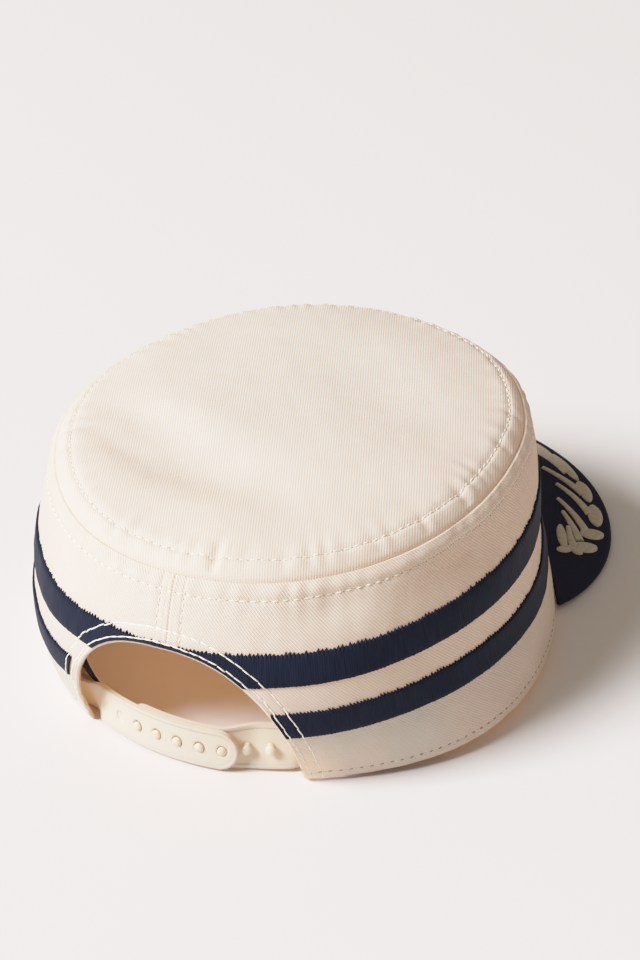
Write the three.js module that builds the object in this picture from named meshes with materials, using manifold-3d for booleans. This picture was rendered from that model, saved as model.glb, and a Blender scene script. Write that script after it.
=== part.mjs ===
// A painter's cap: a tall cloth crown with a flat round top panel, a short stiff peak, two
// embroidered stripes round the wall and a snap strap across an arched opening at the back.
// Millimetres, +Z up. The peak points along -Y and the wearer's right is -X.
// Angles run round the crown from the middle of the back towards the wearer's right.
import * as THREE from "three";
import { mergeVertices } from "three/addons/utils/BufferGeometryUtils.js";
import Module from "manifold-3d";

const wasm = await Module();
wasm.setup();

const rad = THREE.MathUtils.degToRad;
const smooth = THREE.MathUtils.smoothstep;
const FULL_TURN = 2 * Math.PI;
// Step along a curve over which its direction is taken.
const SMALL_STEP = 0.01;
// Points closer than this are one point.
const MERGE_DISTANCE = 1e-3;

// Middle of the rim oval, measured from the middle of the whole cap.
const CROWN_CENTRE = new THREE.Vector3(-0.7, 22.9, 0);
// Clearance between pieces that are sewn or pressed together.
const SEAT_GAP = 0.3;

// Crown wall: ovals from the rim, share 0, up to the seam of the top panel, share 1.
// The empty crown slumps a little to the wearer's left, which is its lean.
const WALL_SECTIONS = [
  { share: 0.0, halfWidth: 88.7, toBack: 92.9, toFront: 96.8, fullness: 2.0, lean: 0.0 },
  { share: 0.45, halfWidth: 87.1, toBack: 103.6, toFront: 96.7, fullness: 2.07, lean: 1.5 },
  { share: 1.0, halfWidth: 77.0, toBack: 91.3, toFront: 87.1, fullness: 2.06, lean: 3.4 },
];
const CLOTH_THICKNESS = 1.6;
const SEAM_HEIGHT = { back: 74.2, front: 80.3 };
// The rim lies on the table, and rises at the front to follow the peak.
const RIM_RISE = { front: 8, startAngle: rad(100) };
const WALL_ROW_SHARES = [0, 0.15, 0.3, 0.44, 0.57, 0.72, 0.86, 1];
const WALL_COLUMNS = 58;

// Arched opening in the back of the wall, a superellipse over angle and share.
const ARCH = { halfAngle: rad(26), topShare: 0.69, fullness: 2.3, columns: 18 };

// Embroidered stripes, between two shares of the wall, standing proud of the cloth.
const STRIPE_SHARES = { lower: [0.3, 0.44], upper: [0.57, 0.72] };
const STRIPE_THICKNESS = 0.8;
const STRIPE_EDGE = { share: 0.012, angle: rad(0.5) };

// Top panel: a low dome with soft hollows, by the place of each hollow's middle,
// the direction that it runs in, its half length and half width, and its depth.
const TOP_DOME = { rise: 7, fullness: 3.2 };
const TOP_RING_RATIOS = [1, 0.96, 0.9, 0.8, 0.66, 0.48, 0.26, 0];
const TOP_COLUMNS = 60;
const TOP_HOLLOWS = [
  { x: 26, y: 40, turn: rad(-13), halfLength: 44, halfWidth: 13, depth: 2.6 },
  { x: -30, y: -22, turn: rad(35), halfLength: 40, halfWidth: 20, depth: 1.6 },
];

// Peak: an ellipse in plan, arched across, from the wall of the crown out to its edge.
const PEAK = { centreY: -70, halfWidth: 87.6, reach: 78.5, thickness: 3 };
const PEAK_ARCH = { edgeRise: 4.5, slope: 0.05 };
const PEAK_ROOT = { halfAngle: rad(66), edgeHalfAngle: rad(113.5), share: 0.06, endCut: 0.985 };
const PEAK_COLUMNS = 44;
const PEAK_ROWS = 5;

// Sweatband: stands inside the rim and is pressed inwards beside the opening by the strap.
const SWEATBAND = { thickness: 1.0, gap: 0.4, shares: [0.012, 0.13, 0.26, 0.385] };
const SWEATBAND_END = { angle: rad(27), slant: rad(16) };
const SWEATBAND_PRESS = { depth: 6.6, fullAngle: rad(46), endAngle: rad(78) };
const SWEATBAND_COLUMNS = 56;

// Snap strap: two ribbons, the one with holes lapping outside the one with pegs.
const STRAP = { height: 15, lift: 0.8, thickness: 1.5, share: 0.117, step: rad(2.8), rows: 4 };
const STRAP_MIDDLE = { inset: 5.0, height: STRAP.lift + STRAP.height / 2 };
const STRAP_LAP = STRAP.thickness + SEAT_GAP;
// At their roots the straps lean with the wall and seat on it.
const STRAP_LEAN = { start: rad(24), end: rad(28.5) };
const STRAP_SEAT = { inset: CLOTH_THICKNESS + 2 * SEAT_GAP, start: rad(26), end: rad(33) };
// Past the lap the half with pegs swings in, its top edge most, before it seats.
const STRAP_SWING = { depth: 3, tilt: 2, start: rad(7), full: rad(17), back: rad(24), end: rad(33) };
const STRAP_ROOT_ANGLE = rad(44);
const STRAP_TIP = { holes: rad(12.6), pegs: rad(-15.6), angle: rad(4.6), steps: 5, blunt: 0.12 };
const SNAP = { firstAngle: rad(9), pitch: rad(5.3), holes: 7, freePegs: 2, engaged: 5 };
const SNAP_HOLE_RADIUS = 2.2;
const SNAP_PEG = { radius: 1.65, length: 2.9, bevel: 0.5, tipRadius: 1.15, root: 0.5 };
const SNAP_SIDES = 10;

// Leaf spray on each half of the peak: stalked leaves that sweep back along the edge. Each row
// gives a leaf's base and tip, in degrees round the peak and in from its edge, and its half width.
const SPRAY_LEAVES = [
  { baseTurn: 179, baseInset: 7, tipTurn: 166, tipInset: 4, halfWidth: 2.4 },
  { baseTurn: 168, baseInset: 8, tipTurn: 156, tipInset: 3.5, halfWidth: 2.4 },
  { baseTurn: 157, baseInset: 9, tipTurn: 145, tipInset: 3.5, halfWidth: 2.4 },
  { baseTurn: 149, baseInset: 10.5, tipTurn: 131, tipInset: 4, halfWidth: 2.5 },
  { baseTurn: 141, baseInset: 12.5, tipTurn: 120, tipInset: 5.5, halfWidth: 2.6 },
  { baseTurn: 132, baseInset: 14, tipTurn: 111, tipInset: 5, halfWidth: 3.0 },
  { baseTurn: 123.5, baseInset: 17, tipTurn: 103.5, tipInset: 4.5, halfWidth: 2.8 },
  { baseTurn: 117, baseInset: 18, tipTurn: 97.5, tipInset: 6, halfWidth: 2.8 },
  { baseTurn: 107, baseInset: 19, tipTurn: 91, tipInset: 14.5, halfWidth: 2.8 },
];
const LEAF = { stalkHalfWidth: 0.8, bladeStart: 0.5, bladePower: 0.7, steps: 5, height: 0.9 };
const VEIN = { share: 0.3, height: 0.7 };

const FINISHES = {
  cottonTwill: { color: 0xe9dfd0, roughness: 0.9, metalness: 0 },
  navyEmbroidery: { color: 0x2b3148, roughness: 0.75, metalness: 0 },
  navyPeakCloth: { color: 0x1f1e29, roughness: 0.85, metalness: 0 },
  leafThread: { color: 0xa89c85, roughness: 0.7, metalness: 0 },
  navySweatband: { color: 0x262a3a, roughness: 0.9, metalness: 0 },
  ivoryPlastic: { color: 0xf0e8d8, roughness: 0.45, metalness: 0 },
};

// Signed power, for superellipses.
function signedPower(value, power) {
  return Math.sign(value) * Math.abs(value) ** power;
}

// The wall's oval at a share of its height, on a parabola through the three sections.
function wallOval(share) {
  const [a, b, c] = WALL_SECTIONS;
  const weights = [
    ((share - b.share) * (share - c.share)) / ((a.share - b.share) * (a.share - c.share)),
    ((share - a.share) * (share - c.share)) / ((b.share - a.share) * (b.share - c.share)),
    ((share - a.share) * (share - b.share)) / ((c.share - a.share) * (c.share - b.share)),
  ];
  const mixed = (key) => weights.reduce((sum, weight, i) => sum + weight * WALL_SECTIONS[i][key], 0);
  const keys = ["halfWidth", "toBack", "toFront", "fullness", "lean"];
  return Object.fromEntries(keys.map((key) => [key, mixed(key)]));
}

function ovalPoint(oval, angle) {
  const power = 2 / oval.fullness;
  const across = signedPower(Math.sin(angle), power);
  const along = signedPower(Math.cos(angle), power);
  const reach = along > 0 ? oval.toBack : oval.toFront;
  return new THREE.Vector2(oval.lean - oval.halfWidth * across, reach * along);
}

// Outward direction of an oval in plan.
function ovalNormal(oval, angle) {
  const run = ovalPoint(oval, angle + SMALL_STEP).sub(ovalPoint(oval, angle - SMALL_STEP));
  return new THREE.Vector2(run.y, -run.x).normalize();
}

function seamHeight(towardsBack) {
  return THREE.MathUtils.lerp(SEAM_HEIGHT.front, SEAM_HEIGHT.back, (1 + towardsBack) / 2);
}

function rimHeight(angle) {
  const fromBack = Math.acos(Math.cos(angle));
  return RIM_RISE.front * smooth(fromBack, RIM_RISE.startAngle, Math.PI);
}

// A point of the wall, inset from its outer face along the plan normal.
function wallPoint(angle, share, inset = 0) {
  const oval = wallOval(share);
  const plan = ovalPoint(oval, angle).addScaledVector(ovalNormal(oval, angle), -inset);
  const height = THREE.MathUtils.lerp(rimHeight(angle), seamHeight(Math.cos(angle)), share);
  return new THREE.Vector3(plan.x, plan.y, height);
}

// The same direction as an angle between minus and plus half a turn.
function signedAngle(angle) {
  return Math.atan2(Math.sin(angle), Math.cos(angle));
}

// Lower edge of the wall: the arch over the opening, and the rim elsewhere.
function archShare(angle) {
  const ratio = Math.min(1, Math.abs(angle) / ARCH.halfAngle);
  return ARCH.topShare * (1 - ratio ** ARCH.fullness) ** (1 / ARCH.fullness);
}

function archAngle(share) {
  const ratio = Math.min(1, share / ARCH.topShare);
  return ARCH.halfAngle * (1 - ratio ** ARCH.fullness) ** (1 / ARCH.fullness);
}

// Angles of the wall's columns: close together on the flanks of the arch, even elsewhere.
function wallAngles() {
  const angles = [];
  for (let i = 0; i < ARCH.columns; i += 1) {
    const turn = Math.PI * (i / ARCH.columns - 0.5);
    angles.push(ARCH.halfAngle * signedPower(Math.sin(turn), 2 / ARCH.fullness));
  }
  const rest = FULL_TURN - 2 * ARCH.halfAngle;
  for (let i = 0; i < WALL_COLUMNS; i += 1) {
    angles.push(ARCH.halfAngle + (rest * i) / WALL_COLUMNS);
  }
  return angles;
}

// Closed geometry from points and triangles: shared points merged, faces pointing out.
function closedGeometry(points, triangles) {
  const loose = new THREE.BufferGeometry().setFromPoints(points);
  loose.setIndex(triangles);
  const merged = mergeVertices(loose, MERGE_DISTANCE);
  const found = merged.index.array;
  const kept = [];
  for (let i = 0; i < found.length; i += 3) {
    const [a, b, c] = [found[i], found[i + 1], found[i + 2]];
    if (a !== b && b !== c && c !== a) {
      kept.push([a, b, c]);
    }
  }
  const place = merged.getAttribute("position");
  const corner = (i) => new THREE.Vector3().fromBufferAttribute(place, i);
  let volume = 0;
  for (const [a, b, c] of kept) {
    volume += corner(a).dot(corner(b).cross(corner(c)));
  }
  const facing = kept.map(([a, b, c]) => (volume > 0 ? [a, b, c] : [a, c, b]));
  merged.setIndex(facing.flat());
  merged.computeVertexNormals();
  return merged;
}

// A closed wall between an outer and an inner grid of points, open or closed into a ring.
function wallGeometry({ columns, rows, ring, outer, inner }) {
  const points = [];
  for (const face of [outer, inner]) {
    for (let column = 0; column < columns; column += 1) {
      for (let row = 0; row < rows; row += 1) {
        points.push(face(column, row));
      }
    }
  }
  const at = (side, column, row) => (side * columns + (column % columns)) * rows + row;
  const triangles = [];
  const quad = (a, b, c, d) => triangles.push(a, b, c, a, c, d);
  const spans = ring ? columns : columns - 1;
  const top = rows - 1;
  for (let i = 0; i < spans; i += 1) {
    for (let row = 0; row < top; row += 1) {
      quad(at(0, i, row), at(0, i + 1, row), at(0, i + 1, row + 1), at(0, i, row + 1));
      quad(at(1, i, row), at(1, i, row + 1), at(1, i + 1, row + 1), at(1, i + 1, row));
    }
    quad(at(0, i, 0), at(1, i, 0), at(1, i + 1, 0), at(0, i + 1, 0));
    quad(at(0, i, top), at(0, i + 1, top), at(1, i + 1, top), at(1, i, top));
  }
  if (!ring) {
    const last = columns - 1;
    for (let row = 0; row < top; row += 1) {
      quad(at(0, 0, row), at(0, 0, row + 1), at(1, 0, row + 1), at(1, 0, row));
      quad(at(0, last, row), at(1, last, row), at(1, last, row + 1), at(0, last, row + 1));
    }
  }
  return closedGeometry(points, triangles);
}

// A closed bar whose section polygon is carried through a row of stations.
function barGeometry(stations) {
  const sides = stations[0].length;
  const points = stations.flat();
  const triangles = [];
  for (let i = 0; i + 1 < stations.length; i += 1) {
    for (let side = 0; side < sides; side += 1) {
      const next = (side + 1) % sides;
      const [a, b] = [i * sides + side, i * sides + next];
      triangles.push(a, b, b + sides, a, b + sides, a + sides);
    }
  }
  const end = (stations.length - 1) * sides;
  for (let side = 1; side + 1 < sides; side += 1) {
    triangles.push(0, side + 1, side);
    triangles.push(end, end + side, end + side + 1);
  }
  return closedGeometry(points, triangles);
}

function toSolid(geometry) {
  const bare = geometry.clone();
  bare.deleteAttribute("normal");
  bare.deleteAttribute("uv");
  const merged = mergeVertices(bare, MERGE_DISTANCE);
  const vertProperties = new Float32Array(merged.getAttribute("position").array);
  const triVerts = new Uint32Array(merged.index.array);
  return new wasm.Manifold(new wasm.Mesh({ numProp: 3, vertProperties, triVerts }));
}

function fromSolid(solid) {
  const mesh = solid.getMesh();
  const geometry = new THREE.BufferGeometry();
  geometry.setAttribute("position", new THREE.BufferAttribute(mesh.vertProperties, 3));
  geometry.setIndex(new THREE.BufferAttribute(mesh.triVerts, 1));
  geometry.computeVertexNormals();
  return geometry;
}

function crownSide() {
  const angles = wallAngles();
  const face = (inset) => (column, row) => {
    const low = archShare(signedAngle(angles[column]));
    return wallPoint(angles[column], low + (1 - low) * WALL_ROW_SHARES[row], inset);
  };
  return wallGeometry({
    columns: angles.length,
    rows: WALL_ROW_SHARES.length,
    ring: true,
    outer: face(0),
    inner: face(CLOTH_THICKNESS),
  });
}

function hollowDepth(x, y) {
  let depth = 0;
  for (const hollow of TOP_HOLLOWS) {
    const offset = new THREE.Vector2(x - hollow.x, y - hollow.y);
    offset.rotateAround(new THREE.Vector2(), -hollow.turn);
    const spread = (offset.x / hollow.halfLength) ** 2 + (offset.y / hollow.halfWidth) ** 2;
    depth += hollow.depth * Math.exp(-spread);
  }
  return depth;
}

// Upper face of the top panel, from its edge at ratio 1 to its middle at ratio 0.
function topPoint(angle, ratio) {
  const oval = wallOval(1);
  const edge = ovalPoint(oval, angle);
  const x = oval.lean + (edge.x - oval.lean) * ratio;
  const y = edge.y * ratio;
  const swell = 1 - ratio ** TOP_DOME.fullness;
  const rest = seamHeight(Math.cos(angle) * ratio) + SEAT_GAP + CLOTH_THICKNESS;
  return new THREE.Vector3(x, y, rest + swell * TOP_DOME.rise - hollowDepth(x, y) * swell);
}

function crownTop() {
  const face = (drop) => (column, row) => {
    const point = topPoint((FULL_TURN * column) / TOP_COLUMNS, TOP_RING_RATIOS[row]);
    return point.setZ(point.z - drop);
  };
  return wallGeometry({
    columns: TOP_COLUMNS,
    rows: TOP_RING_RATIOS.length,
    ring: true,
    outer: face(0),
    inner: face(CLOTH_THICKNESS),
  });
}

// The upper stripe runs right round, and its lower edge follows the arch over the opening.
function stripeUpper() {
  const angles = wallAngles();
  const [low, high] = STRIPE_SHARES.upper;
  const rows = 3;
  const face = (proud) => (column, row) => {
    const start = Math.max(low, archShare(signedAngle(angles[column])) + STRIPE_EDGE.share);
    return wallPoint(angles[column], start + ((high - start) * row) / (rows - 1), -proud);
  };
  return wallGeometry({
    columns: angles.length,
    rows,
    ring: true,
    outer: face(SEAT_GAP + STRIPE_THICKNESS),
    inner: face(SEAT_GAP),
  });
}

// The lower stripe ends on both flanks of the arch.
function stripeLower() {
  const [low, high] = STRIPE_SHARES.lower;
  const rows = 3;
  const columns = WALL_COLUMNS;
  const face = (proud) => (column, row) => {
    const share = low + ((high - low) * row) / (rows - 1);
    const start = archAngle(share) + STRIPE_EDGE.angle;
    const angle = start + ((FULL_TURN - 2 * start) * column) / (columns - 1);
    return wallPoint(angle, share, -proud);
  };
  return wallGeometry({
    columns,
    rows,
    ring: false,
    outer: face(SEAT_GAP + STRIPE_THICKNESS),
    inner: face(SEAT_GAP),
  });
}

// Upper face of the peak, arched across and falling gently to the front.
function peakHeight(x, y) {
  const middle = 1 - (x / PEAK.halfWidth) ** 2;
  const fromFront = y - (PEAK.centreY - PEAK.reach);
  return PEAK.thickness + middle * (PEAK_ARCH.edgeRise + PEAK_ARCH.slope * fromFront);
}

// A point on the ellipse of the peak, moved in from its edge.
function peakEdge(angle, inset = 0) {
  const x = -(PEAK.halfWidth - inset) * Math.sin(angle);
  return new THREE.Vector2(x, PEAK.centreY + (PEAK.reach - inset) * Math.cos(angle));
}

function peak() {
  const face = (drop) => (column, row) => {
    const side = PEAK_ROOT.endCut * ((2 * column) / (PEAK_COLUMNS - 1) - 1);
    const root = wallPoint(Math.PI + side * PEAK_ROOT.halfAngle, PEAK_ROOT.share, -SEAT_GAP);
    const edge = peakEdge(Math.PI + side * PEAK_ROOT.edgeHalfAngle);
    const plan = new THREE.Vector2(root.x, root.y).lerp(edge, row / (PEAK_ROWS - 1));
    return new THREE.Vector3(plan.x, plan.y, peakHeight(plan.x, plan.y) - drop);
  };
  return wallGeometry({
    columns: PEAK_COLUMNS,
    rows: PEAK_ROWS,
    ring: false,
    outer: face(0),
    inner: face(PEAK.thickness),
  });
}

function sweatband() {
  const face = (depth) => (column, row) => {
    const raised = row / (SWEATBAND.shares.length - 1);
    const start = SWEATBAND_END.angle + SWEATBAND_END.slant * raised;
    const angle = start + ((FULL_TURN - 2 * start) * column) / (SWEATBAND_COLUMNS - 1);
    const fromBack = Math.acos(Math.cos(angle));
    const press = 1 - smooth(fromBack, SWEATBAND_PRESS.fullAngle, SWEATBAND_PRESS.endAngle);
    const inset = CLOTH_THICKNESS + SWEATBAND.gap + SWEATBAND_PRESS.depth * press + depth;
    return wallPoint(angle, SWEATBAND.shares[row], inset);
  };
  return wallGeometry({
    columns: SWEATBAND_COLUMNS,
    rows: SWEATBAND.shares.length,
    ring: false,
    outer: face(0),
    inner: face(SWEATBAND.thickness),
  });
}

// How far a strap has come from its free run across the opening to its seat on the wall.
function strapSeated(angle) {
  return smooth(Math.abs(angle), STRAP_SEAT.start, STRAP_SEAT.end);
}

// Inset of the holed strap's outer face from the wall's outer face.
function holesInset(angle) {
  return THREE.MathUtils.lerp(STRAP_MIDDLE.inset, STRAP_SEAT.inset, strapSeated(angle));
}

// The pegged strap lies behind the holed one, and swings in past the tip of that one.
function pegsInset(angle, height = STRAP_MIDDLE.height) {
  const { depth, tilt, start, full, back, end } = STRAP_SWING;
  const swing = smooth(angle, start, full) * (1 - smooth(angle, back, end));
  const tilted = (tilt * (height - STRAP_MIDDLE.height)) / (STRAP.height / 2);
  const lap = STRAP_LAP * (1 - strapSeated(angle));
  return holesInset(angle) + lap + swing * (depth + tilted);
}

// A point of a strap: upright across the opening, and leaning with the wall at its root.
function strapPoint(angle, height, inset) {
  const wallShare = height / seamHeight(Math.cos(angle));
  const lean = smooth(Math.abs(angle), STRAP_LEAN.start, STRAP_LEAN.end);
  const oval = wallOval(THREE.MathUtils.lerp(STRAP.share, wallShare, lean));
  const plan = ovalPoint(oval, angle).addScaledVector(ovalNormal(oval, angle), -inset);
  return new THREE.Vector3(plan.x, plan.y, height);
}

// A ribbon from its root, under the flap beside the opening, to its rounded tip.
function strapRibbon(rootAngle, tipAngle, insetAt) {
  const towardsTip = Math.sign(tipAngle - rootAngle);
  const shoulder = tipAngle - towardsTip * STRAP_TIP.angle;
  const spans = Math.round(Math.abs(shoulder - rootAngle) / STRAP.step);
  const stations = [];
  for (let i = 0; i < spans; i += 1) {
    const angle = THREE.MathUtils.lerp(rootAngle, shoulder, i / spans);
    stations.push({ angle, halfHeight: STRAP.height / 2 });
  }
  for (let i = 0; i <= STRAP_TIP.steps; i += 1) {
    const turn = ((Math.PI / 2) * i) / STRAP_TIP.steps;
    const angle = shoulder + towardsTip * STRAP_TIP.angle * Math.sin(turn);
    const halfHeight = (STRAP.height / 2) * Math.max(Math.cos(turn), STRAP_TIP.blunt);
    stations.push({ angle, halfHeight });
  }
  const face = (depth) => (column, row) => {
    const { angle, halfHeight } = stations[column];
    const height = STRAP_MIDDLE.height + halfHeight * ((2 * row) / (STRAP.rows - 1) - 1);
    return strapPoint(angle, height, insetAt(angle, height) + depth);
  };
  return wallGeometry({
    columns: stations.length,
    rows: STRAP.rows,
    ring: false,
    outer: face(0),
    inner: face(STRAP.thickness),
  });
}

// A round piece standing on a strap: its own +Y axis turned to the strap's outward normal.
function placeOnStrap(geometry, angle, inset) {
  const oval = wallOval(STRAP.share);
  const normal = ovalNormal(oval, angle);
  const outward = new THREE.Vector3(normal.x, normal.y, 0);
  const turn = new THREE.Quaternion().setFromUnitVectors(new THREE.Vector3(0, 1, 0), outward);
  const place = strapPoint(angle, STRAP_MIDDLE.height, inset);
  return geometry.applyMatrix4(new THREE.Matrix4().compose(place, turn, new THREE.Vector3(1, 1, 1)));
}

function strapHoles() {
  let solid = toSolid(strapRibbon(-STRAP_ROOT_ANGLE, STRAP_TIP.holes, holesInset));
  for (let i = 0; i < SNAP.holes; i += 1) {
    const angle = SNAP.firstAngle - SNAP.pitch * i;
    const drill = new THREE.CylinderGeometry(
      SNAP_HOLE_RADIUS,
      SNAP_HOLE_RADIUS,
      4 * STRAP.thickness,
      SNAP_SIDES,
    );
    const inset = holesInset(angle) + STRAP.thickness / 2;
    solid = solid.subtract(toSolid(placeOnStrap(drill, angle, inset)));
  }
  return fromSolid(solid);
}

function strapPegs() {
  let solid = toSolid(strapRibbon(STRAP_ROOT_ANGLE, STRAP_TIP.pegs, pegsInset));
  const { radius, length, bevel, tipRadius, root } = SNAP_PEG;
  const profile = [
    [0, -root],
    [radius, -root],
    [radius, length - bevel],
    [tipRadius, length],
    [0, length],
  ].map(([across, along]) => new THREE.Vector2(across, along));
  for (let i = -SNAP.freePegs; i < SNAP.engaged; i += 1) {
    const angle = SNAP.firstAngle - SNAP.pitch * i;
    const peg = new THREE.LatheGeometry(profile, SNAP_SIDES);
    solid = solid.add(toSolid(placeOnStrap(peg, angle, pegsInset(angle))));
  }
  return fromSolid(solid);
}

// A slim raised strip lying on the peak: stations give its middle, its side and its half width.
function reliefBar(stations) {
  const sections = stations.map(({ middle, side, halfWidth, crest }) => {
    const at = (across, raised) => {
      const plan = middle.clone().addScaledVector(side, across * halfWidth);
      return new THREE.Vector3(plan.x, plan.y, peakHeight(plan.x, plan.y) + SEAT_GAP + raised);
    };
    return [at(-1, 0), at(1, 0), at(1, crest / 2), at(0, crest), at(-1, crest / 2)];
  });
  return barGeometry(sections);
}

// A point along a leaf, from its base to its tip, in the plan of the peak.
function leafMiddle(leaf, along, mirror) {
  const turn = mirror * rad(THREE.MathUtils.lerp(leaf.baseTurn, leaf.tipTurn, along));
  return peakEdge(turn, THREE.MathUtils.lerp(leaf.baseInset, leaf.tipInset, along));
}

function sprayLeaf(leaf, mirror) {
  const stations = [];
  for (let i = 0; i <= LEAF.steps; i += 1) {
    const along = i / LEAF.steps;
    const middle = leafMiddle(leaf, along, mirror);
    const ahead = leafMiddle(leaf, along + SMALL_STEP, mirror).sub(middle).normalize();
    const side = new THREE.Vector2(ahead.y, -ahead.x);
    const blade = Math.max(0, (along - LEAF.bladeStart) / (1 - LEAF.bladeStart));
    const swell = Math.sin(Math.PI * blade) ** LEAF.bladePower;
    const halfWidth = THREE.MathUtils.lerp(LEAF.stalkHalfWidth, leaf.halfWidth, swell);
    stations.push({ middle, side, halfWidth, crest: LEAF.height });
  }
  return reliefBar(stations);
}

// A thin vein from one leaf's stalk to the next, which holds the spray together.
function sprayVein(leaf, next, mirror) {
  const from = leafMiddle(leaf, VEIN.share, mirror);
  const to = leafMiddle(next, VEIN.share, mirror);
  const ahead = to.clone().sub(from).normalize();
  const side = new THREE.Vector2(ahead.y, -ahead.x);
  const size = { halfWidth: LEAF.stalkHalfWidth, crest: VEIN.height };
  return reliefBar([from, to].map((middle) => ({ middle, side, ...size })));
}

function leafSpray(mirror) {
  let solid = toSolid(sprayLeaf(SPRAY_LEAVES[0], mirror));
  for (let i = 1; i < SPRAY_LEAVES.length; i += 1) {
    solid = solid.add(toSolid(sprayLeaf(SPRAY_LEAVES[i], mirror)));
    solid = solid.add(toSolid(sprayVein(SPRAY_LEAVES[i - 1], SPRAY_LEAVES[i], mirror)));
  }
  return fromSolid(solid);
}

const PIECES = [
  { name: "crown_side", geometry: crownSide(), finish: FINISHES.cottonTwill },
  { name: "crown_top", geometry: crownTop(), finish: FINISHES.cottonTwill },
  { name: "stripe_lower", geometry: stripeLower(), finish: FINISHES.navyEmbroidery },
  { name: "stripe_upper", geometry: stripeUpper(), finish: FINISHES.navyEmbroidery },
  { name: "peak", geometry: peak(), finish: FINISHES.navyPeakCloth },
  { name: "leaf_spray_right", geometry: leafSpray(1), finish: FINISHES.leafThread },
  { name: "leaf_spray_left", geometry: leafSpray(-1), finish: FINISHES.leafThread },
  { name: "sweatband", geometry: sweatband(), finish: FINISHES.navySweatband },
  { name: "strap_holes", geometry: strapHoles(), finish: FINISHES.ivoryPlastic },
  { name: "strap_pegs", geometry: strapPegs(), finish: FINISHES.ivoryPlastic },
];

const cap = new THREE.Group();
cap.position.copy(CROWN_CENTRE);
for (const { name, geometry, finish } of PIECES) {
  const mesh = new THREE.Mesh(geometry, new THREE.MeshStandardMaterial(finish));
  mesh.name = name;
  cap.add(mesh);
}

export default cap;
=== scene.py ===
import math
from collections import namedtuple

import bmesh
import bpy
import numpy as np
from bpy.props import FloatProperty, FloatVectorProperty, PointerProperty
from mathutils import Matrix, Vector


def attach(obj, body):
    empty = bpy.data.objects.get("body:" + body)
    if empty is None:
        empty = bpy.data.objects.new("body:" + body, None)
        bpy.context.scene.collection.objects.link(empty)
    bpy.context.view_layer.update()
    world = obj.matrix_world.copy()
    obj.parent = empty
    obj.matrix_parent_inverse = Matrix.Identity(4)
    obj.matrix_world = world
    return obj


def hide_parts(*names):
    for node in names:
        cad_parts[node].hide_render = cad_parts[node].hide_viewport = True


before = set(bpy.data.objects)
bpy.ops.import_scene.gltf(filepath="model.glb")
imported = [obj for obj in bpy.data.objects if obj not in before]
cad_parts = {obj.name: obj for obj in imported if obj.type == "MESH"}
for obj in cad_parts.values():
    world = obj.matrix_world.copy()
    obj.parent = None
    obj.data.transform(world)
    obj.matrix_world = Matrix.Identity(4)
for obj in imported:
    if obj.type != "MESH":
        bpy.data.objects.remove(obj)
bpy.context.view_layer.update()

bl_info = {
    "name": "Painter cap",
    "version": (1, 0, 0),
    "blender": (4, 5, 0),
    "location": "View3D > Sidebar > Cap",
    "description": "Builds a painter cap in twill with embroidered stripes and a snap strap",
    "category": "Add Mesh",
}

BODY = "root"
MM = 0.001
TURN = 2 * math.pi
SEED = 7

# The wall's sections from the rim to the top seam, in millimetres.
WallSection = namedtuple("WallSection", "share half_width to_back to_front fullness lean")
WALL_SECTIONS = (
    WallSection(0.00, 88.7, 92.9, 96.8, 2.00, 0.0),
    WallSection(0.45, 87.1, 103.6, 96.7, 2.07, 1.5),
    WallSection(1.00, 77.0, 91.3, 87.1, 2.06, 3.4),
)
CROWN_CENTRE = np.array([-0.7, 22.9, 0.0])
SEAM_BACK, SEAM_FRONT = 74.2, 80.3
RIM_RISE, RIM_RISE_START = 8.0, math.radians(100)
# On one side the empty rim stands off the floor and flares out; its angle and spread are in degrees.
RimShift = namedtuple("RimShift", "size angle spread")
RIM_LIFT, RIM_FLARE = RimShift(4.1, 75, 38), RimShift(4.9, 62, 24)
RIM_FLARE_SHARE = 0.42
# Mean radius and height that turn angles and shares into millimetres over the cloth; measured down from
# the seam the slanting wall is a little taller. The top panel has its own mean radius and reach.
GIRTH, WALL_HEIGHT, WALL_SLANT = 92.0, 75.5, 1.06
TOP_GIRTH, TOP_REACH = 84, 85

ARCH_HALF, ARCH_TOP, ARCH_FULLNESS = math.radians(26), 0.69, 2.3
STRIPE_LOWER, STRIPE_UPPER = (0.30, 0.44), (0.57, 0.72)
STRIPE_CLEAR_SHARE, STRIPE_CLEAR_ANGLE = 0.013, math.radians(0.65)
# The lower stripe stops this much short of the arch at one end.
STRIPE_SHORT = math.radians(2.6)

TOP_RISE, TOP_FULLNESS, TOP_LIFT = 7.0, 3.2, 2.8
Hollow = namedtuple("Hollow", "x y turn half_length half_width depth")
TOP_HOLLOWS = (
    Hollow(26, 42, -16, 44, 16, 5.6),
    Hollow(54, 22, -13, 28, 9, 2.4),
    Hollow(56, 37, -25, 20, 5, 1.3),
    Hollow(-30, -22, 35, 40, 20, 2.4),
)
# The top's margin rounds over the shoulder to a seam set in from the wall's face.
SHOULDER_FALL, SHOULDER_WIDTH = 3.6, 9.0
SEAM_INSET, SEAM_ROLL, SEAM_ROLL_WIDTH, SEAM_TUCK = 1.2, 1.2, 4.5, 0.5
# The panel's edge folds down at the seam, most round this angle; angle and spread are in degrees.
SEAM_FOLD, SEAM_FOLD_WIDTH, SEAM_FOLD_ANGLE, SEAM_FOLD_SPREAD = 2.6, 1.0, 75, 60
# Where the empty crown's shoulder bulges out or sags in: angle and spread in degrees, shift outwards.
Sag = namedtuple("Sag", "angle spread shift")
SHOULDER_SAGS = (
    Sag(-84, 22, 3.4),
    Sag(138, 20, 2.0),
    Sag(111, 11, 0.8),
)
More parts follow.
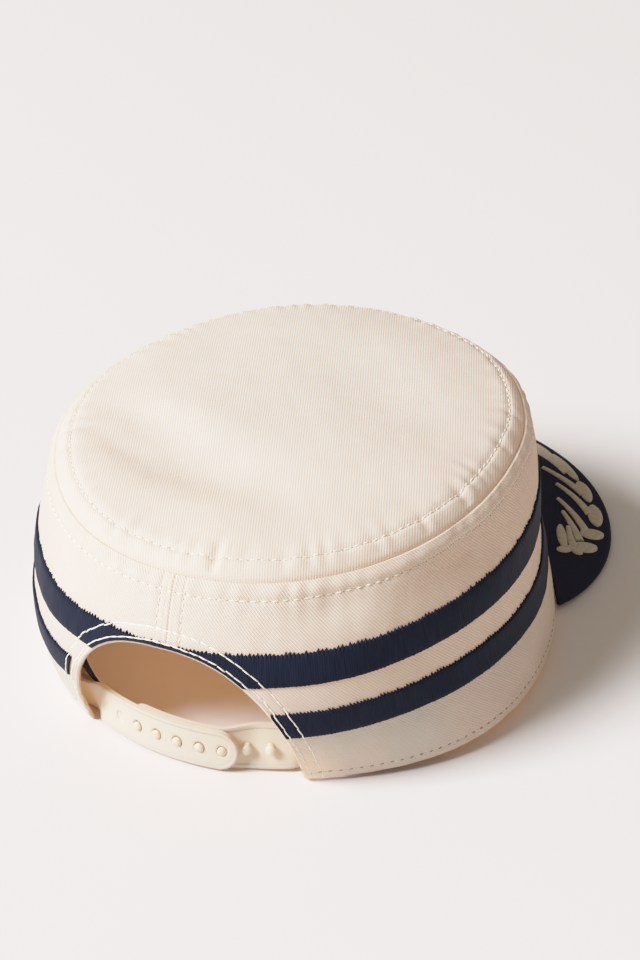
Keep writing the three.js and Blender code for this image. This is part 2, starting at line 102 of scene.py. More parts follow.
# Pleats that the seam pinches into the top's margin: angle, length inwards, half width, depth.
Pleat = namedtuple("Pleat", "angle length half_width depth")
TOP_PLEATS = (
    Pleat(9.0, 15.0, 1.5, 1.0),
    Pleat(-20.0, 9.0, 1.6, 0.35),
    Pleat(26.0, 10.0, 1.8, 0.35),
    Pleat(50.0, 8.0, 1.6, 0.4),
    Pleat(63.0, 9.0, 1.5, 0.6),
    Pleat(77.0, 12.0, 2.2, 1.2),
    Pleat(88.0, 8.0, 1.4, 0.6),
    Pleat(99.0, 10.0, 2.0, 1.1),
    Pleat(113.0, 9.0, 1.6, 0.6),
    Pleat(-60.0, 9.0, 1.8, 0.3),
    Pleat(140.0, 9.0, 1.8, 0.35),
    Pleat(-130.0, 9.0, 1.8, 0.35),
)
# Soft dents in the wall: angle, share of the height, spreads round and up, depth.
Dent = namedtuple("Dent", "angle share round_mm up_mm depth")
WALL_DENTS = (
    Dent(38, 0.88, 13, 6, 1.6),
    Dent(66, 0.84, 22, 7, 1.6),
    Dent(71, 0.91, 7, 7, 1.3),
    Dent(-66, 0.66, 30, 16, 1.2),
    Dent(14, 0.80, 12, 9, 0.4),
    Dent(-28, 0.84, 18, 8, 0.5),
    Dent(52, 0.20, 20, 8, 0.5),
    Dent(117, 0.45, 42, 24, 5.2),
    Dent(88, 0.86, 16, 8, 0.7),
    Dent(-80, 0.82, 26, 9, 0.7),
    Dent(150, 0.75, 26, 12, 0.8),
    Dent(-140, 0.80, 26, 10, 0.7),
)

PEAK_Y, PEAK_HALF, PEAK_REACH, PEAK_THICK = -70.0, 87.6, 78.5, 3.0
PEAK_RISE, PEAK_SLOPE = 4.5, 0.05
PEAK_ROOT_HALF, PEAK_EDGE_HALF = math.radians(66), math.radians(113.5)
PEAK_ROOT_SHARE, PEAK_END = 0.06, 0.985

BAND_THICK, BAND_GAP, BAND_SHARES = 1.0, 0.4, (0.012, 0.385)
BAND_END, BAND_COLUMNS, BAND_END_COLUMNS = math.radians(27), 320, 30
BAND_PRESS, BAND_PRESS_FULL, BAND_PRESS_END = 6.6, math.radians(46), math.radians(78)

STRAP_HEIGHT, STRAP_LIFT, STRAP_THICK, STRAP_SHARE = 15.0, 0.8, 1.5, 0.117
STRAP_SEAT, STRAP_MIDDLE, STRAP_LAP = 2.2, 5.0, 1.8
STRAP_LEAN, STRAP_SEATED = np.radians((24, 28.5)), np.radians((26, 33))
# Past the lap the half with pegs swings in, its top edge most, before it seats on the wall.
SWING_DEPTH, SWING_TILT = 3.0, 2.0
SWING_OUT, SWING_BACK = np.radians((7, 17)), np.radians((24, 33))
STRAP_ROOT = math.radians(44)
HOLES_TIP, PEGS_TIP, TIP_ANGLE = math.radians(12.6), math.radians(-15.6), math.radians(4.6)
SNAP_FIRST, SNAP_PITCH = math.radians(9), math.radians(5.3)
HOLE_RADIUS, HOLES, OPEN_HOLES, WEB_DEPTH = 1.95, 7, 5, 0.4
STRAP_ROWS = 15
# Pegs sit under the open holes, and go on at the same pitch past the first hole.
PEG_STEPS = range(-2, 5)
# Section of a strap's raised border, as distances in from the outline and depths under the face.
BORDER_SECTION = ((0.05, 0.0), (0.3, -0.16), (0.75, -0.22), (1.2, -0.16), (1.5, 0.0), (0.8, 0.25))
# Section of a peg, as radii and depths under the face.
PEG_SECTION = (
    (0, 0.3), (1.45, 0.3), (1.45, -0.2), (1.4, -1.0), (1.6, -1.6),
    (1.74, -1.9), (1.68, -2.2), (1.35, -2.5), (0.75, -2.7), (0, -2.78),
)

# Stalks and blades of a spray on the peak, each through three places on it, which are given by
# their turn round the peak's edge in degrees and their inset from it.
SPRAY_STALKS = (
    ((180.5, 9.0), (176.0, 7.4), (170.0, 6.2)),
    ((172.5, 9.4), (166.5, 7.6), (159.0, 6.4)),
    ((162.5, 9.4), (156.5, 7.6), (148.0, 6.4)),
    ((151.1, 8.6), (145.3, 7.1), (136.2, 6.7)),
    ((141.7, 13.7), (133.5, 10.2), (124.6, 6.7)),
    ((131.5, 14.7), (123.6, 11.1), (114.2, 7.5)),
    ((122.8, 18.0), (114.2, 14.1), (104.5, 9.4)),
    ((114.7, 17.9), (107.4, 15.1), (98.9, 11.1)),
    ((105.8, 16.3), (100.2, 15.0), (94.8, 12.5)),
)
Blade = namedtuple("Blade", "base middle tip half_width")
SPRAY_BLADES = (
    Blade((178.0, 4.4), (173.0, 4.8), (167.0, 5.1), 1.9),
    Blade((168.0, 4.4), (162.5, 4.9), (156.0, 5.2), 1.9),
    Blade((157.5, 4.6), (151.5, 5.0), (145.0, 5.2), 1.9),
    Blade((146.6, 4.1), (139.8, 4.9), (131.8, 5.2), 2.0),
    Blade((131.3, 5.6), (126.9, 5.5), (120.7, 6.1), 2.5),
    Blade((119.1, 5.4), (114.4, 5.6), (108.5, 5.3), 2.9),
    Blade((103.3, 11.7), (104.1, 7.1), (104.8, 2.8), 3.3),
    Blade((95.6, 13.2), (96.4, 8.7), (98.2, 4.5), 3.3),
    Blade((105.7, 19.3), (98.9, 17.9), (92.1, 15.0), 1.9),
    Blade((94.6, 12.9), (92.0, 14.9), (89.9, 17.5), 2.0),
    Blade((94.0, 13.2), (93.1, 10.7), (92.6, 8.4), 1.9),
)
STALK_BASE, STALK_END, LEAF_HEIGHT = 0.8, 1.7, 0.9

# Stitch lines, in millimetres from the seam or edge they follow.
TOP_STITCH, SIDE_STITCH, HEM_STITCH = 5.5, 5.8, 3.3
ARCH_STITCHES = (2.3, 6.2)
BACK_SEAM, BACK_STITCH = 2.0, 4.3
# Points along the long rows of stitches and along the back seam.
ROW_POINTS, SEAM_POINTS = 1600, 120

# Relief of the cloth: lips and folds where it is double, grooves that stitches pull into it, soft waves.
HEM_LIP, HEM_GROOVE = 0.25, 0.3
ARCH_LIP, ARCH_GROOVE, ARCH_FOLD = 0.3, 0.22, 0.15
SIDE_GROOVE, SIDE_FOLD = 0.32, 0.25
BACK_GROOVE, BACK_FOLD, BACK_STITCH_GROOVE = 0.4, 0.15, 0.15
TOP_GROOVE, TOP_FOLD = 0.4, 0.3
WALL_WAVE, WALL_RIPPLE, TOP_WAVE, TOP_RIPPLE = 0.45, 0.07, 0.4, 0.06

# Rows of points near the edges of the cloth, by their distance from the edge.
OUTER_FOOT_ROWS = (0, .15, .35, .6, .9, 1.3, 1.8, 2.3, 2.8, 3.4, 4, 4.5, 5, 5.6)
OUTER_SEAM_ROWS = (0, .2, .5, .9, 1.4, 2, 3, 4, 4.8, 5.4, 6, 6.8, 8, 9.5, 11)
INNER_FOOT_ROWS, INNER_SEAM_ROWS = (0, .2, .5, .9), (0, .5, 1.2)
TOP_ROWS = (0, .1, .3, .6, 1, 1.5, 2, 2.6, 3.2, 3.8, 4.4, 4.9, 5.3, 5.7, 6.1, 6.7, 7.5, 8.5, 9.7, 11, 13)
PEAK_ROWS = (0, .1, .3, .6, 1, 1.5, 2.1, 2.8, 3.6, 4.5)

# Share of its light that cloth keeps between its ribs, and the radians that a wave texture turns in a unit.
LINING_SHADE, NAVY_SHADE, WAVE_RADIANS = 0.85, 0.55, 20

# Light that gives full white, and the response between black and that white.
FILM_WHITE = 2.0
FILM_CURVE = ((0.08, 0.16), (0.15, 0.295), (0.3, 0.54), (0.5, 0.78), (0.75, 0.92))

# The floor's half width and drop and the window light's place from the crown's centre and size, in metres;
# the camera and its aim from the crown's centre, in millimetres.
FLOOR_HALF, FLOOR_DROP = 9, 0.0002
WINDOW_PLACE, WINDOW_SIZE, WINDOW_COLOUR, ROOM_COLOUR = (3.10, 3.21, 4.02), 2.2, "FDFCFF", "FFF1DF"
CAMERA_PLACE, CAMERA_AIM, SENSOR_WIDTH = np.array([-296.3, 637.6, 487.9]), np.array([-2.9, -7.5, 53.9]), 36


def to_linear(code):
    """An sRGB hex colour as the linear values that shaders take."""
    channels = [int(code[i:i + 2], 16) / 255 for i in (0, 2, 4)]
    return [c / 12.92 if c <= 0.04045 else ((c + 0.055) / 1.055) ** 2.4 for c in channels]


def length_property(name, description, millimetres):
    """A size that the user can change, in metres."""
    return FloatProperty(
        name=name, description=description, default=millimetres * MM, min=0.01 * MM,
        unit="LENGTH", subtype="DISTANCE", precision=5,
    )


def colour_property(name, description, code):
    """A colour that the user can change, given as sRGB hex."""
    return FloatVectorProperty(
        name=name, description=description, default=to_linear(code), min=0, max=1,
        size=3, subtype="COLOR",
    )


class CapSizes(bpy.types.PropertyGroup):
    """Sizes of the cloth, thread and relief"""

    # Ribs and strands are drawn somewhat coarser than real ones, so that they show in the render.
    cloth: length_property("Cloth", "Thickness of the crown's lined cloth", 1.6)
    rib_pitch: length_property("Twill rib pitch", "Distance between the twill's ribs", 0.85)
    pucker: length_property("Pucker depth", "Depth of the puckers along the top seam", 0.38)
    stripe: length_property("Stripe thickness", "How far the embroidery stands up", 0.8)
    tooth_pitch: length_property("Stripe tooth pitch", "Width of a tooth on a stripe's upper edge", 1.35)
    strand: length_property("Stripe strand", "Width of a strand of stripe thread", 0.8)
    stitch_pitch: length_property("Stitch pitch", "Distance from stitch to stitch", 3.4)
    stitch_length: length_property("Stitch length", "Length of thread on show", 2.6)
    thread_radius: length_property("Thread radius", "Radius of the sewing thread", 0.25)
    arch_pitch: length_property("Arch stitch pitch", "Distance between stitches round the arch", 3.2)
    arch_thread: length_property("Arch thread radius", "Radius of the thread round the arch", 0.27)


class CapColours(bpy.types.PropertyGroup):
    """Colours of the materials"""

    crown: colour_property("Crown", "Cream twill", "FCF8EF")
    # The crown's groove colour is darker than its twill: painted shade between the ribs.
    crown_painted_groove_shade: colour_property("Crown grooves", "Cream twill between its ribs", "EDE3D2")
    stripe: colour_property("Stripes", "Navy embroidery thread", "1F2331")
    stripe_sheen: colour_property("Stripe sheen", "Light that glances off the navy thread", "7084B4")
    peak: colour_property("Peak", "Navy peak cloth", "262840")
    leaf: colour_property("Leaves", "Straw coloured thread", "C2B8A6")
    band: colour_property("Sweatband", "Navy sweatband cloth", "20263A")
    strap: colour_property("Strap", "Ivory plastic", "E7E1D1")
    # The inner side is warmer than the crown's twill: painted warm light from inside the crown.
    lining: colour_property("Lining side", "Inner side of the cream twill", "F6E4CC")
    thread: colour_property("Thread", "Cream sewing thread", "EEE3D0")
    needle_hole_shade: colour_property("Needle holes", "Shade in the needle holes", "A08B75")
    arch_thread: colour_property("Arch thread", "Cream sewing thread round the opening", "F6F1E6")
    floor: colour_property("Floor", "Pale painted board", "E0DCDB")


class CapStage(bpy.types.PropertyGroup):
    """Camera and light"""

    lens: FloatProperty(name="Lens", description="Focal length", default=89.76, unit="CAMERA")
    key: FloatProperty(name="Key light", description="Power of the window light", default=725, unit="POWER")
    ambient: FloatProperty(name="Ambient", description="Strength of the room's light", default=0.4)


def smoothstep(value, start, end):
    """A soft step from 0 to 1."""
    ratio = np.clip((value - start) / (end - start), 0, 1)
    return ratio * ratio * (3 - 2 * ratio)


def bump(distance, width):
    """A soft ridge of height 1 round distance 0."""
    return np.exp(-((distance / width) ** 2))


def plateau(value, rise, fall):
    """A soft step up to 1 and a soft step down again."""
    return smoothstep(value, *rise) * (1 - smoothstep(value, *fall))


def puckers(run, pitch, *drifts):
    """Uneven waves along a seam, whose phase drifts by sizes over lengths."""
    phase = run * TURN / pitch
    for size, length in drifts:
        phase = phase + size * np.sin(run * TURN / length)
    return np.sin(phase)


def rolled(distance, radius):
    """How far a rounded edge falls away near its end."""
    ratio = np.clip(1 - distance / radius, 0, 1)
    return radius * (1 - np.sqrt(1 - ratio * ratio))


def signed_power(value, power):
    """Power that keeps the sign, for superellipses."""
    return np.sign(value) * np.abs(value) ** power


def signed_angle(angle):
    """The same direction between minus and plus half a turn."""
    return np.arctan2(np.sin(angle), np.cos(angle))


def degrees_from(place, angle):
    """How far angles are from a place that is given in degrees."""
    return np.degrees(signed_angle(angle - math.radians(place)))


def unit(vectors):
    """Vectors of length 1."""
    return vectors / np.maximum(np.linalg.norm(vectors, axis=-1, keepdims=True), 1e-12)


def soft_waves(x, y, wavelength, seed):
    """Gentle waves in every direction, between about minus and plus 1."""
    rng = np.random.default_rng(SEED + seed)
    total = np.zeros(np.broadcast(x, y).shape)
    for _ in range(7):
        heading = rng.uniform(0, TURN)
        pitch = wavelength * rng.uniform(0.7, 1.5)
        run = (x * math.cos(heading) + y * math.sin(heading)) * TURN / pitch
        total += np.sin(run + rng.uniform(0, TURN))
    return total / 3.5


def wall_oval(share):
    """The wall's oval at a share of its height, on a parabola through the three sections."""
    shares = [row.share for row in WALL_SECTIONS]
    weights = []
    for i, here in enumerate(shares):
        a, b = [other for j, other in enumerate(shares) if j != i]
        weights.append((share - a) * (share - b) / ((here - a) * (here - b)))
    return [sum(w * row[column] for w, row in zip(weights, WALL_SECTIONS)) for column in range(1, 6)]


def shoulder_shift(angle):
    """How far the shoulder bulges out or sags in."""
    return sum(sag.shift * bump(degrees_from(sag.angle, angle), sag.spread) for sag in SHOULDER_SAGS)


def rim_shift(shift, angle):
    """How far the rim lifts or flares at a place."""
    return shift.size * bump(degrees_from(shift.angle, angle), shift.spread)


def wall_plan(angle, share):
    """Plan place of the wall's outer face."""
    half_width, to_back, to_front, fullness, lean = wall_oval(share)
    across = signed_power(np.sin(angle), 2 / fullness)
    along = signed_power(np.cos(angle), 2 / fullness)
    plan = np.stack([lean - half_width * across, np.where(along > 0, to_back, to_front) * along], -1)
    shift = shoulder_shift(angle) * smoothstep(share, 0.5, 1)
    shift = shift + rim_shift(RIM_FLARE, angle) * (1 - smoothstep(share, 0, RIM_FLARE_SHARE))
    return plan + unit(plan) * shift[..., None]


def plan_normal(angle, share):
    """Outward direction of the wall in plan."""
    run = wall_plan(angle + 0.01, share) - wall_plan(angle - 0.01, share)
    return unit(np.stack([run[..., 1], -run[..., 0]], -1))


def seam_height(cosine):
    """Height of the top seam."""
    return SEAM_FRONT + (SEAM_BACK - SEAM_FRONT) * (1 + cosine) / 2


def rim_height(angle):
    """Height of the rim, which rises over the peak and lifts a little on one side."""
    rise = RIM_RISE * smoothstep(np.abs(signed_angle(angle)), RIM_RISE_START, math.pi)
    return rise + rim_shift(RIM_LIFT, angle)


def wall_point(angle, share):
    """Smooth outer face of the wall, in millimetres."""
    angle, share = np.broadcast_arrays(np.asarray(angle, float), np.asarray(share, float))
    rim = rim_height(angle)
    height = rim + (seam_height(np.cos(angle)) - rim) * share
    return np.concatenate([wall_plan(angle, share), height[..., None]], -1) + CROWN_CENTRE


def wall_normal(angle, share):
    """Outward direction of the wall's face."""
    round_it = wall_point(angle + 0.01, share) - wall_point(angle - 0.01, share)
    up_it = wall_point(angle, share + 0.01) - wall_point(angle, share - 0.01)
    return unit(np.cross(round_it, up_it))


def arch_share(angle):
    """Lower edge of the wall: the arch over the opening, and the rim elsewhere."""
    ratio = np.minimum(1, np.abs(signed_angle(angle)) / ARCH_HALF)
    return ARCH_TOP * (1 - ratio**ARCH_FULLNESS) ** (1 / ARCH_FULLNESS)


def arch_angle(share):
    """Half angle of the opening at a share of the height."""
    ratio = np.minimum(1, share / ARCH_TOP)
    return ARCH_HALF * (1 - ratio**ARCH_FULLNESS) ** (1 / ARCH_FULLNESS)


def arch_line(offset, count=400):
    """Angles and shares of a line at a distance outside the arch's edge, foot to foot."""
    turn = np.linspace(0, math.pi, count)
    round_it = ARCH_HALF * GIRTH * signed_power(np.cos(turn), 2 / ARCH_FULLNESS)
    up_it = ARCH_TOP * WALL_HEIGHT * np.sin(turn).clip(0) ** (2 / ARCH_FULLNESS)
    edge = np.stack([round_it, up_it], -1)
    run = unit(np.gradient(edge, axis=0))
    line = edge + offset * np.stack([run[:, 1], -run[:, 0]], -1)
    return line[:, 0] / GIRTH, np.maximum(line[:, 1], 0.4) / WALL_HEIGHT


def arch_distance(round_it, up_it):
    """Distance over the cloth from the arch's edge, up to 60 mm."""
    angle, share = arch_line(0.0)
    edge = np.stack([angle * GIRTH, share * WALL_HEIGHT], -1)
    places = np.stack([round_it, up_it], -1).reshape(-1, 2)
    found = np.full(len(places), 60.0)
    near = np.nonzero(np.abs(places[:, 0]) < 58)[0]
    for chunk in np.array_split(near, max(1, len(near) // 4000)):
        found[chunk] = np.linalg.norm(places[chunk, None] - edge, axis=-1).min(1)
    return found.reshape(round_it.shape)


def wall_dents(angle, share):
    """Depth of the soft dents in the wall."""
    depth = np.zeros(np.broadcast(angle, share).shape)
    for dent in WALL_DENTS:
        gap = signed_angle(angle - math.radians(dent.angle)) * GIRTH / dent.round_mm
        depth += dent.depth * np.exp(-gap**2 - ((share - dent.share) * WALL_HEIGHT / dent.up_mm) ** 2)
    return depth


def wall_relief(angle, share, sizes):
    """How far the wall's cloth stands off its smooth face: hem, seams, puckers, dents and soft waves."""
    angle, share = np.broadcast_arrays(np.asarray(angle, float), np.asarray(share, float))
    round_it, up_it = signed_angle(angle) * GIRTH, share * WALL_HEIGHT
    down_it = (1 - share) * WALL_HEIGHT * WALL_SLANT
    arch = arch_distance(round_it, up_it)
    pinch = 0.75 + 0.25 * np.cos(round_it * TURN / (sizes.stitch_pitch / MM))
    relief = HEM_LIP * (1 - smoothstep(up_it, HEM_STITCH - 1, HEM_STITCH)) * smoothstep(arch, 0, 3)
    relief -= HEM_GROOVE * bump(up_it - HEM_STITCH, 0.8) * pinch * smoothstep(arch, 2, 5)
    relief += ARCH_LIP * bump(arch - 0.9, 0.8)
    for line in ARCH_STITCHES:
        relief -= ARCH_GROOVE * bump(arch - line, 0.7) * pinch
    relief += ARCH_FOLD * (1 - smoothstep(arch, ARCH_STITCHES[1] - 1, ARCH_STITCHES[1]))
    relief -= SIDE_GROOVE * bump(down_it - SIDE_STITCH, 0.9) * pinch
    relief += SIDE_FOLD * plateau(down_it, (1.5, 3), (SIDE_STITCH - 1.5, SIDE_STITCH))
    above_arch = smoothstep(arch, 1, 4)
    off_seam = np.abs(round_it - BACK_SEAM)
    relief -= BACK_GROOVE * bump(off_seam, 0.35) * above_arch
    relief += BACK_FOLD * (1 - smoothstep(off_seam, BACK_STITCH - 1.2, BACK_STITCH)) * above_arch
    relief -= BACK_STITCH_GROOVE * bump(off_seam - BACK_STITCH, 0.6) * above_arch
    strength = 0.65 + 0.35 * soft_waves(round_it, 0 * round_it, 47, 1)
    fading = np.exp(-down_it / 7) * smoothstep(down_it, 0, 2.5)
    relief += sizes.pucker / MM * puckers(round_it, 8.6, (1.8, 61), (0.9, 23)) * strength * fading
    relief -= wall_dents(angle, share)
    calm = smoothstep(np.minimum(up_it, arch), 0, 18) * smoothstep(down_it, 2, 16)
    relief += WALL_WAVE * soft_waves(round_it, up_it * 0.6, 42, 2) * calm
    relief += WALL_RIPPLE * soft_waves(round_it, up_it, 11, 3) * smoothstep(down_it, 0, 4)
    return relief - SEAM_ROLL * np.clip(1 - down_it / SEAM_ROLL_WIDTH, 0, 1) ** 2


def on_wall(angle, share, proud, sizes):
    """Places on the wall's cloth, standing proud of it, in metres."""
    height = np.asarray(wall_relief(angle, share, sizes) + proud)
    return (wall_point(angle, share) + wall_normal(angle, share) * height[..., None]) * MM


def top_edge_distance(angle, ratio):
    """Distance in from the top panel's edge."""
    reach = np.linalg.norm(wall_plan(angle, np.ones_like(angle)), axis=-1)
    return (1 - ratio) * reach


def top_point(angle, ratio, sizes):
    """Outer face of the top panel with its seam, margin, pleats and hollows, in millimetres."""
    angle, ratio = np.broadcast_arrays(np.asarray(angle, float), np.asarray(ratio, float))
    edge = wall_plan(angle, np.ones_like(angle))
    lean = WALL_SECTIONS[-1].lean
    # The seam creases deeply on the side that the empty crown leans from, and lies flat on the other.
    creased = bump(degrees_from(SEAM_FOLD_ANGLE, angle), SEAM_FOLD_SPREAD)
    reach = ratio * (1 - SEAM_INSET * (1 + 0.4 * creased) / TOP_REACH)
    x, y = lean + (edge[..., 0] - lean) * reach, edge[..., 1] * reach
    swell = 1 - ratio**TOP_FULLNESS
    height = seam_height(np.cos(angle) * ratio) + TOP_LIFT + swell * TOP_RISE
    for hollow in TOP_HOLLOWS:
        turn = math.radians(hollow.turn)
        along = (x - hollow.x) * math.cos(turn) + (y - hollow.y) * math.sin(turn)
        across = (y - hollow.y) * math.cos(turn) - (x - hollow.x) * math.sin(turn)
        dip = np.exp(-((along / hollow.half_length) ** 2) - (across / hollow.half_width) ** 2)
        height -= hollow.depth * dip * swell
    inward = top_edge_distance(angle, ratio)
    run = signed_angle(angle) * TOP_GIRTH
    pinch = 0.75 + 0.25 * np.cos(run * TURN / (sizes.stitch_pitch / MM))
    height -= TOP_GROOVE * bump(inward - TOP_STITCH, 0.9) * pinch
    height += TOP_FOLD * plateau(inward, (0.8, 2.5), (TOP_STITCH - 1.5, TOP_STITCH))
    strength = 0.6 + 0.4 * soft_waves(run, 0 * run, 43, 4)
    fading = bump(inward - TOP_STITCH, 5.5) * smoothstep(inward, 0.5, 2.5)
    height += sizes.pucker / MM * puckers(run, 9.3, (1.6, 57), (1.1, 25)) * strength * fading
    for pleat in TOP_PLEATS:
        gap = signed_angle(angle - math.radians(pleat.angle)) * TOP_GIRTH * (0.35 + 0.65 * ratio)
        fading = plateau(inward, (0.5, 2.5), (0.35 * pleat.length, pleat.length))
        # A pleat is a valley with a lower ridge beside it.
        valley = bump(gap, pleat.half_width) - 0.55 * bump(gap - 1.9 * pleat.half_width, pleat.half_width)
        height -= pleat.depth * valley * fading
    calm = smoothstep(inward, 2, 14)
    height += TOP_WAVE * soft_waves(x, y, 48, 5) * calm
    height += TOP_RIPPLE * soft_waves(x, y, 13, 6) * calm
    height -= SHOULDER_FALL * np.clip(1 - inward / SHOULDER_WIDTH, 0, 1) ** 2
    height -= SEAM_FOLD * (0.2 + 0.8 * creased) * np.clip(1 - inward / SEAM_FOLD_WIDTH, 0, 1) ** 2
    return np.stack([x, y, height], -1) + CROWN_CENTRE


def peak_height(x, y):
    """Upper face of the peak, bowed from side to side."""
    return PEAK_THICK + (1 - (x / PEAK_HALF) ** 2) * (PEAK_RISE + PEAK_SLOPE * (y - PEAK_Y + PEAK_REACH))


def peak_edge(angle, inset):
    """Plan place on the peak, inset from its edge."""
    x = -(PEAK_HALF - inset) * np.sin(angle)
    return np.stack([x, PEAK_Y + (PEAK_REACH - inset) * np.cos(angle)], -1)


def holes_inset(angle, _height):
    """Inset of the strap half with holes, which seats on the wall at its root."""
    return STRAP_MIDDLE + (STRAP_SEAT - STRAP_MIDDLE) * smoothstep(np.abs(angle), *STRAP_SEATED)


def pegs_inset(angle, height):
    """Inset of the strap half with pegs: inside the other, and swung in past the tip of that one."""
    swing = plateau(angle, SWING_OUT, SWING_BACK)
    lap = STRAP_LAP * (1 - smoothstep(np.abs(angle), *STRAP_SEATED))
    tilt = SWING_TILT * (2 * (height - STRAP_LIFT) / STRAP_HEIGHT - 1)
    return holes_inset(angle, height) + lap + swing * (SWING_DEPTH + tilt)


def strap_point(angle, height, inset):
    """Place on a strap at a height and an inset from the wall's face, in metres."""
    angle, height, inset = np.broadcast_arrays(angle, height, inset)
    lean = smoothstep(np.abs(angle), *STRAP_LEAN)
    share = STRAP_SHARE + (height / seam_height(np.cos(angle)) - STRAP_SHARE) * lean
    plan = wall_plan(angle, share) - plan_normal(angle, share) * inset[..., None]
    lifted = height + rim_shift(RIM_LIFT, angle)
    return (np.concatenate([plan, lifted[..., None]], -1) + CROWN_CENTRE) * MM


class MeshParts:
    """Points, faces and weave coordinates of one piece, gathered grid by grid."""

    def __init__(self):
        self.points, self.weave, self.faces, self.slots = [], [], [], []
        self.count = self.slot = 0

    def add(self, points, weave=None):
        """Adds a grid of points in metres and gives their numbers."""
        shape = points.shape[:-1]
        number = self.count + np.arange(math.prod(shape)).reshape(shape)
        self.points.append(points.reshape(-1, 3))
        self.weave.append(np.zeros((number.size, 2)) if weave is None else weave.reshape(-1, 2))
        self.count += number.size
        return number

    def cover(self, faces):
        """Adds quads in the present material slot."""
        self.faces.append(faces)
        self.slots.append(np.full(len(faces), self.slot))

    def skin(self, number, ring=False):
        """Covers a grid with quads, closed along its first direction where ring is set."""
        here = number if ring else number[:-1]
        after = np.roll(number, -1, 0) if ring else number[1:]
        quads = [here[:, :-1], after[:, :-1], after[:, 1:], here[:, 1:]]
        self.cover(np.stack(quads, -1).reshape(-1, 4))

    def seam(self, one, two, ring=False):
        """Joins two rows of points with quads."""
        self.skin(np.stack([one, two], -1), ring)

    def shell(self, outer, inner, ring=False, inside=0):
        """Closes two grids of the same columns into a shell, whose inside may have its own material."""
        self.skin(outer, ring)
        self.slot = inside
        self.skin(inner, ring)
        self.slot = 0
        self.seam(outer[:, 0], inner[:, 0], ring)
        self.seam(outer[:, -1], inner[:, -1], ring)
        if not ring:
            for end in (0, -1):
                self.seam(outer[end], inner[end])

    def tubes(self, rings):
        """Adds closed tubes from rings of six points: tube, ring, point, place."""
        number = self.add(rings)
        after = np.roll(number, -1, 2)
        quads = [number[:, :-1], number[:, 1:], after[:, 1:], after[:, :-1]]
        self.cover(np.stack(quads, -1).reshape(-1, 4))
        for end in (0, -1):
            cap = number[:, end]
            self.cover(cap[:, [0, 1, 2, 3]])
            self.cover(cap[:, [3, 4, 5, 0]])

    def build(self, name, *materials, merge=0.0):
        """Makes the piece, with faces turned outwards and smooth shading."""
        points = np.concatenate(self.points)
        weave = np.concatenate(self.weave)
        faces = np.concatenate(self.faces)
        mesh = bpy.data.meshes.new(name)
        mesh.vertices.add(len(points))
        mesh.vertices.foreach_set("co", points.ravel().astype(np.float32))
        mesh.loops.add(faces.size)
        mesh.loops.foreach_set("vertex_index", faces.ravel().astype(np.int32))
        mesh.polygons.add(len(faces))
        mesh.polygons.foreach_set("loop_start", np.arange(0, faces.size, 4, dtype=np.int32))
        mesh.polygons.foreach_set("material_index", np.concatenate(self.slots).astype(np.int32))
        mesh.uv_layers.new(name="weave")
        mesh.uv_layers["weave"].data.foreach_set("uv", weave[faces.ravel()].ravel().astype(np.float32))
        mesh.update(calc_edges=True)
        shape = bmesh.new()
        shape.from_mesh(mesh)
        if merge:
            bmesh.ops.remove_doubles(shape, verts=shape.verts, dist=merge)
        bmesh.ops.recalc_face_normals(shape, faces=shape.faces)
        shape.to_mesh(mesh)
        shape.free()
        mesh.shade_smooth()
        for material in materials:
            mesh.materials.append(material)
        piece = bpy.data.objects.new(name, mesh)
        bpy.context.scene.collection.objects.link(piece)
        return piece


def slab(parts, plan, heights, weave):
    """Adds a closed slab over a grid of plan places, from one height to the other, in millimetres."""
    faces = []
    for height in heights:
        place = np.concatenate([plan, height[..., None]], -1) + CROWN_CENTRE
        faces.append(parts.add(place * MM, weave))
    parts.shell(*faces)


def settle(piece, slot, *nodes):
    """Puts a piece on the part's body, in place of the CAD nodes it shows; the slot it is given is not
    used.
    """
    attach(piece, BODY)
    if nodes:
        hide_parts(*nodes)
    return piece


# How a row is sewn: sink is how deep a stitch's ends go, blunt how thick they stay, both in thread radii;
# hole is the half length, in millimetres, of the dark disc of painted shade in each needle hole.
Sewing = namedtuple("Sewing", "pitch length radius wander sink blunt hole")


def seam_sewing(sizes):
    """Even rows along the seams, each stitch between two needle holes."""
    return Sewing(sizes.stitch_pitch, sizes.stitch_length, sizes.thread_radius, 0.25, 1.0, 0.15, 0.3)


def hem_sewing(sizes):
    """An even row that sinks into the hem between wide needle holes."""
    return Sewing(sizes.stitch_pitch, sizes.stitch_length, 0.8 * sizes.thread_radius, 0.25, 2.2, 0.15, 0.65)


def arch_sewing(sizes):
    """Close rows of thick thread round the arch, with hardly a gap between stitches."""
    return Sewing(sizes.arch_pitch, sizes.arch_pitch, sizes.arch_thread, 0.5, 0.4, 0.75, 0.0)


def along_line(run, at, values):
    """Values of a line at distances along it."""
    return np.stack([np.interp(at, run, column) for column in values.T], -1)


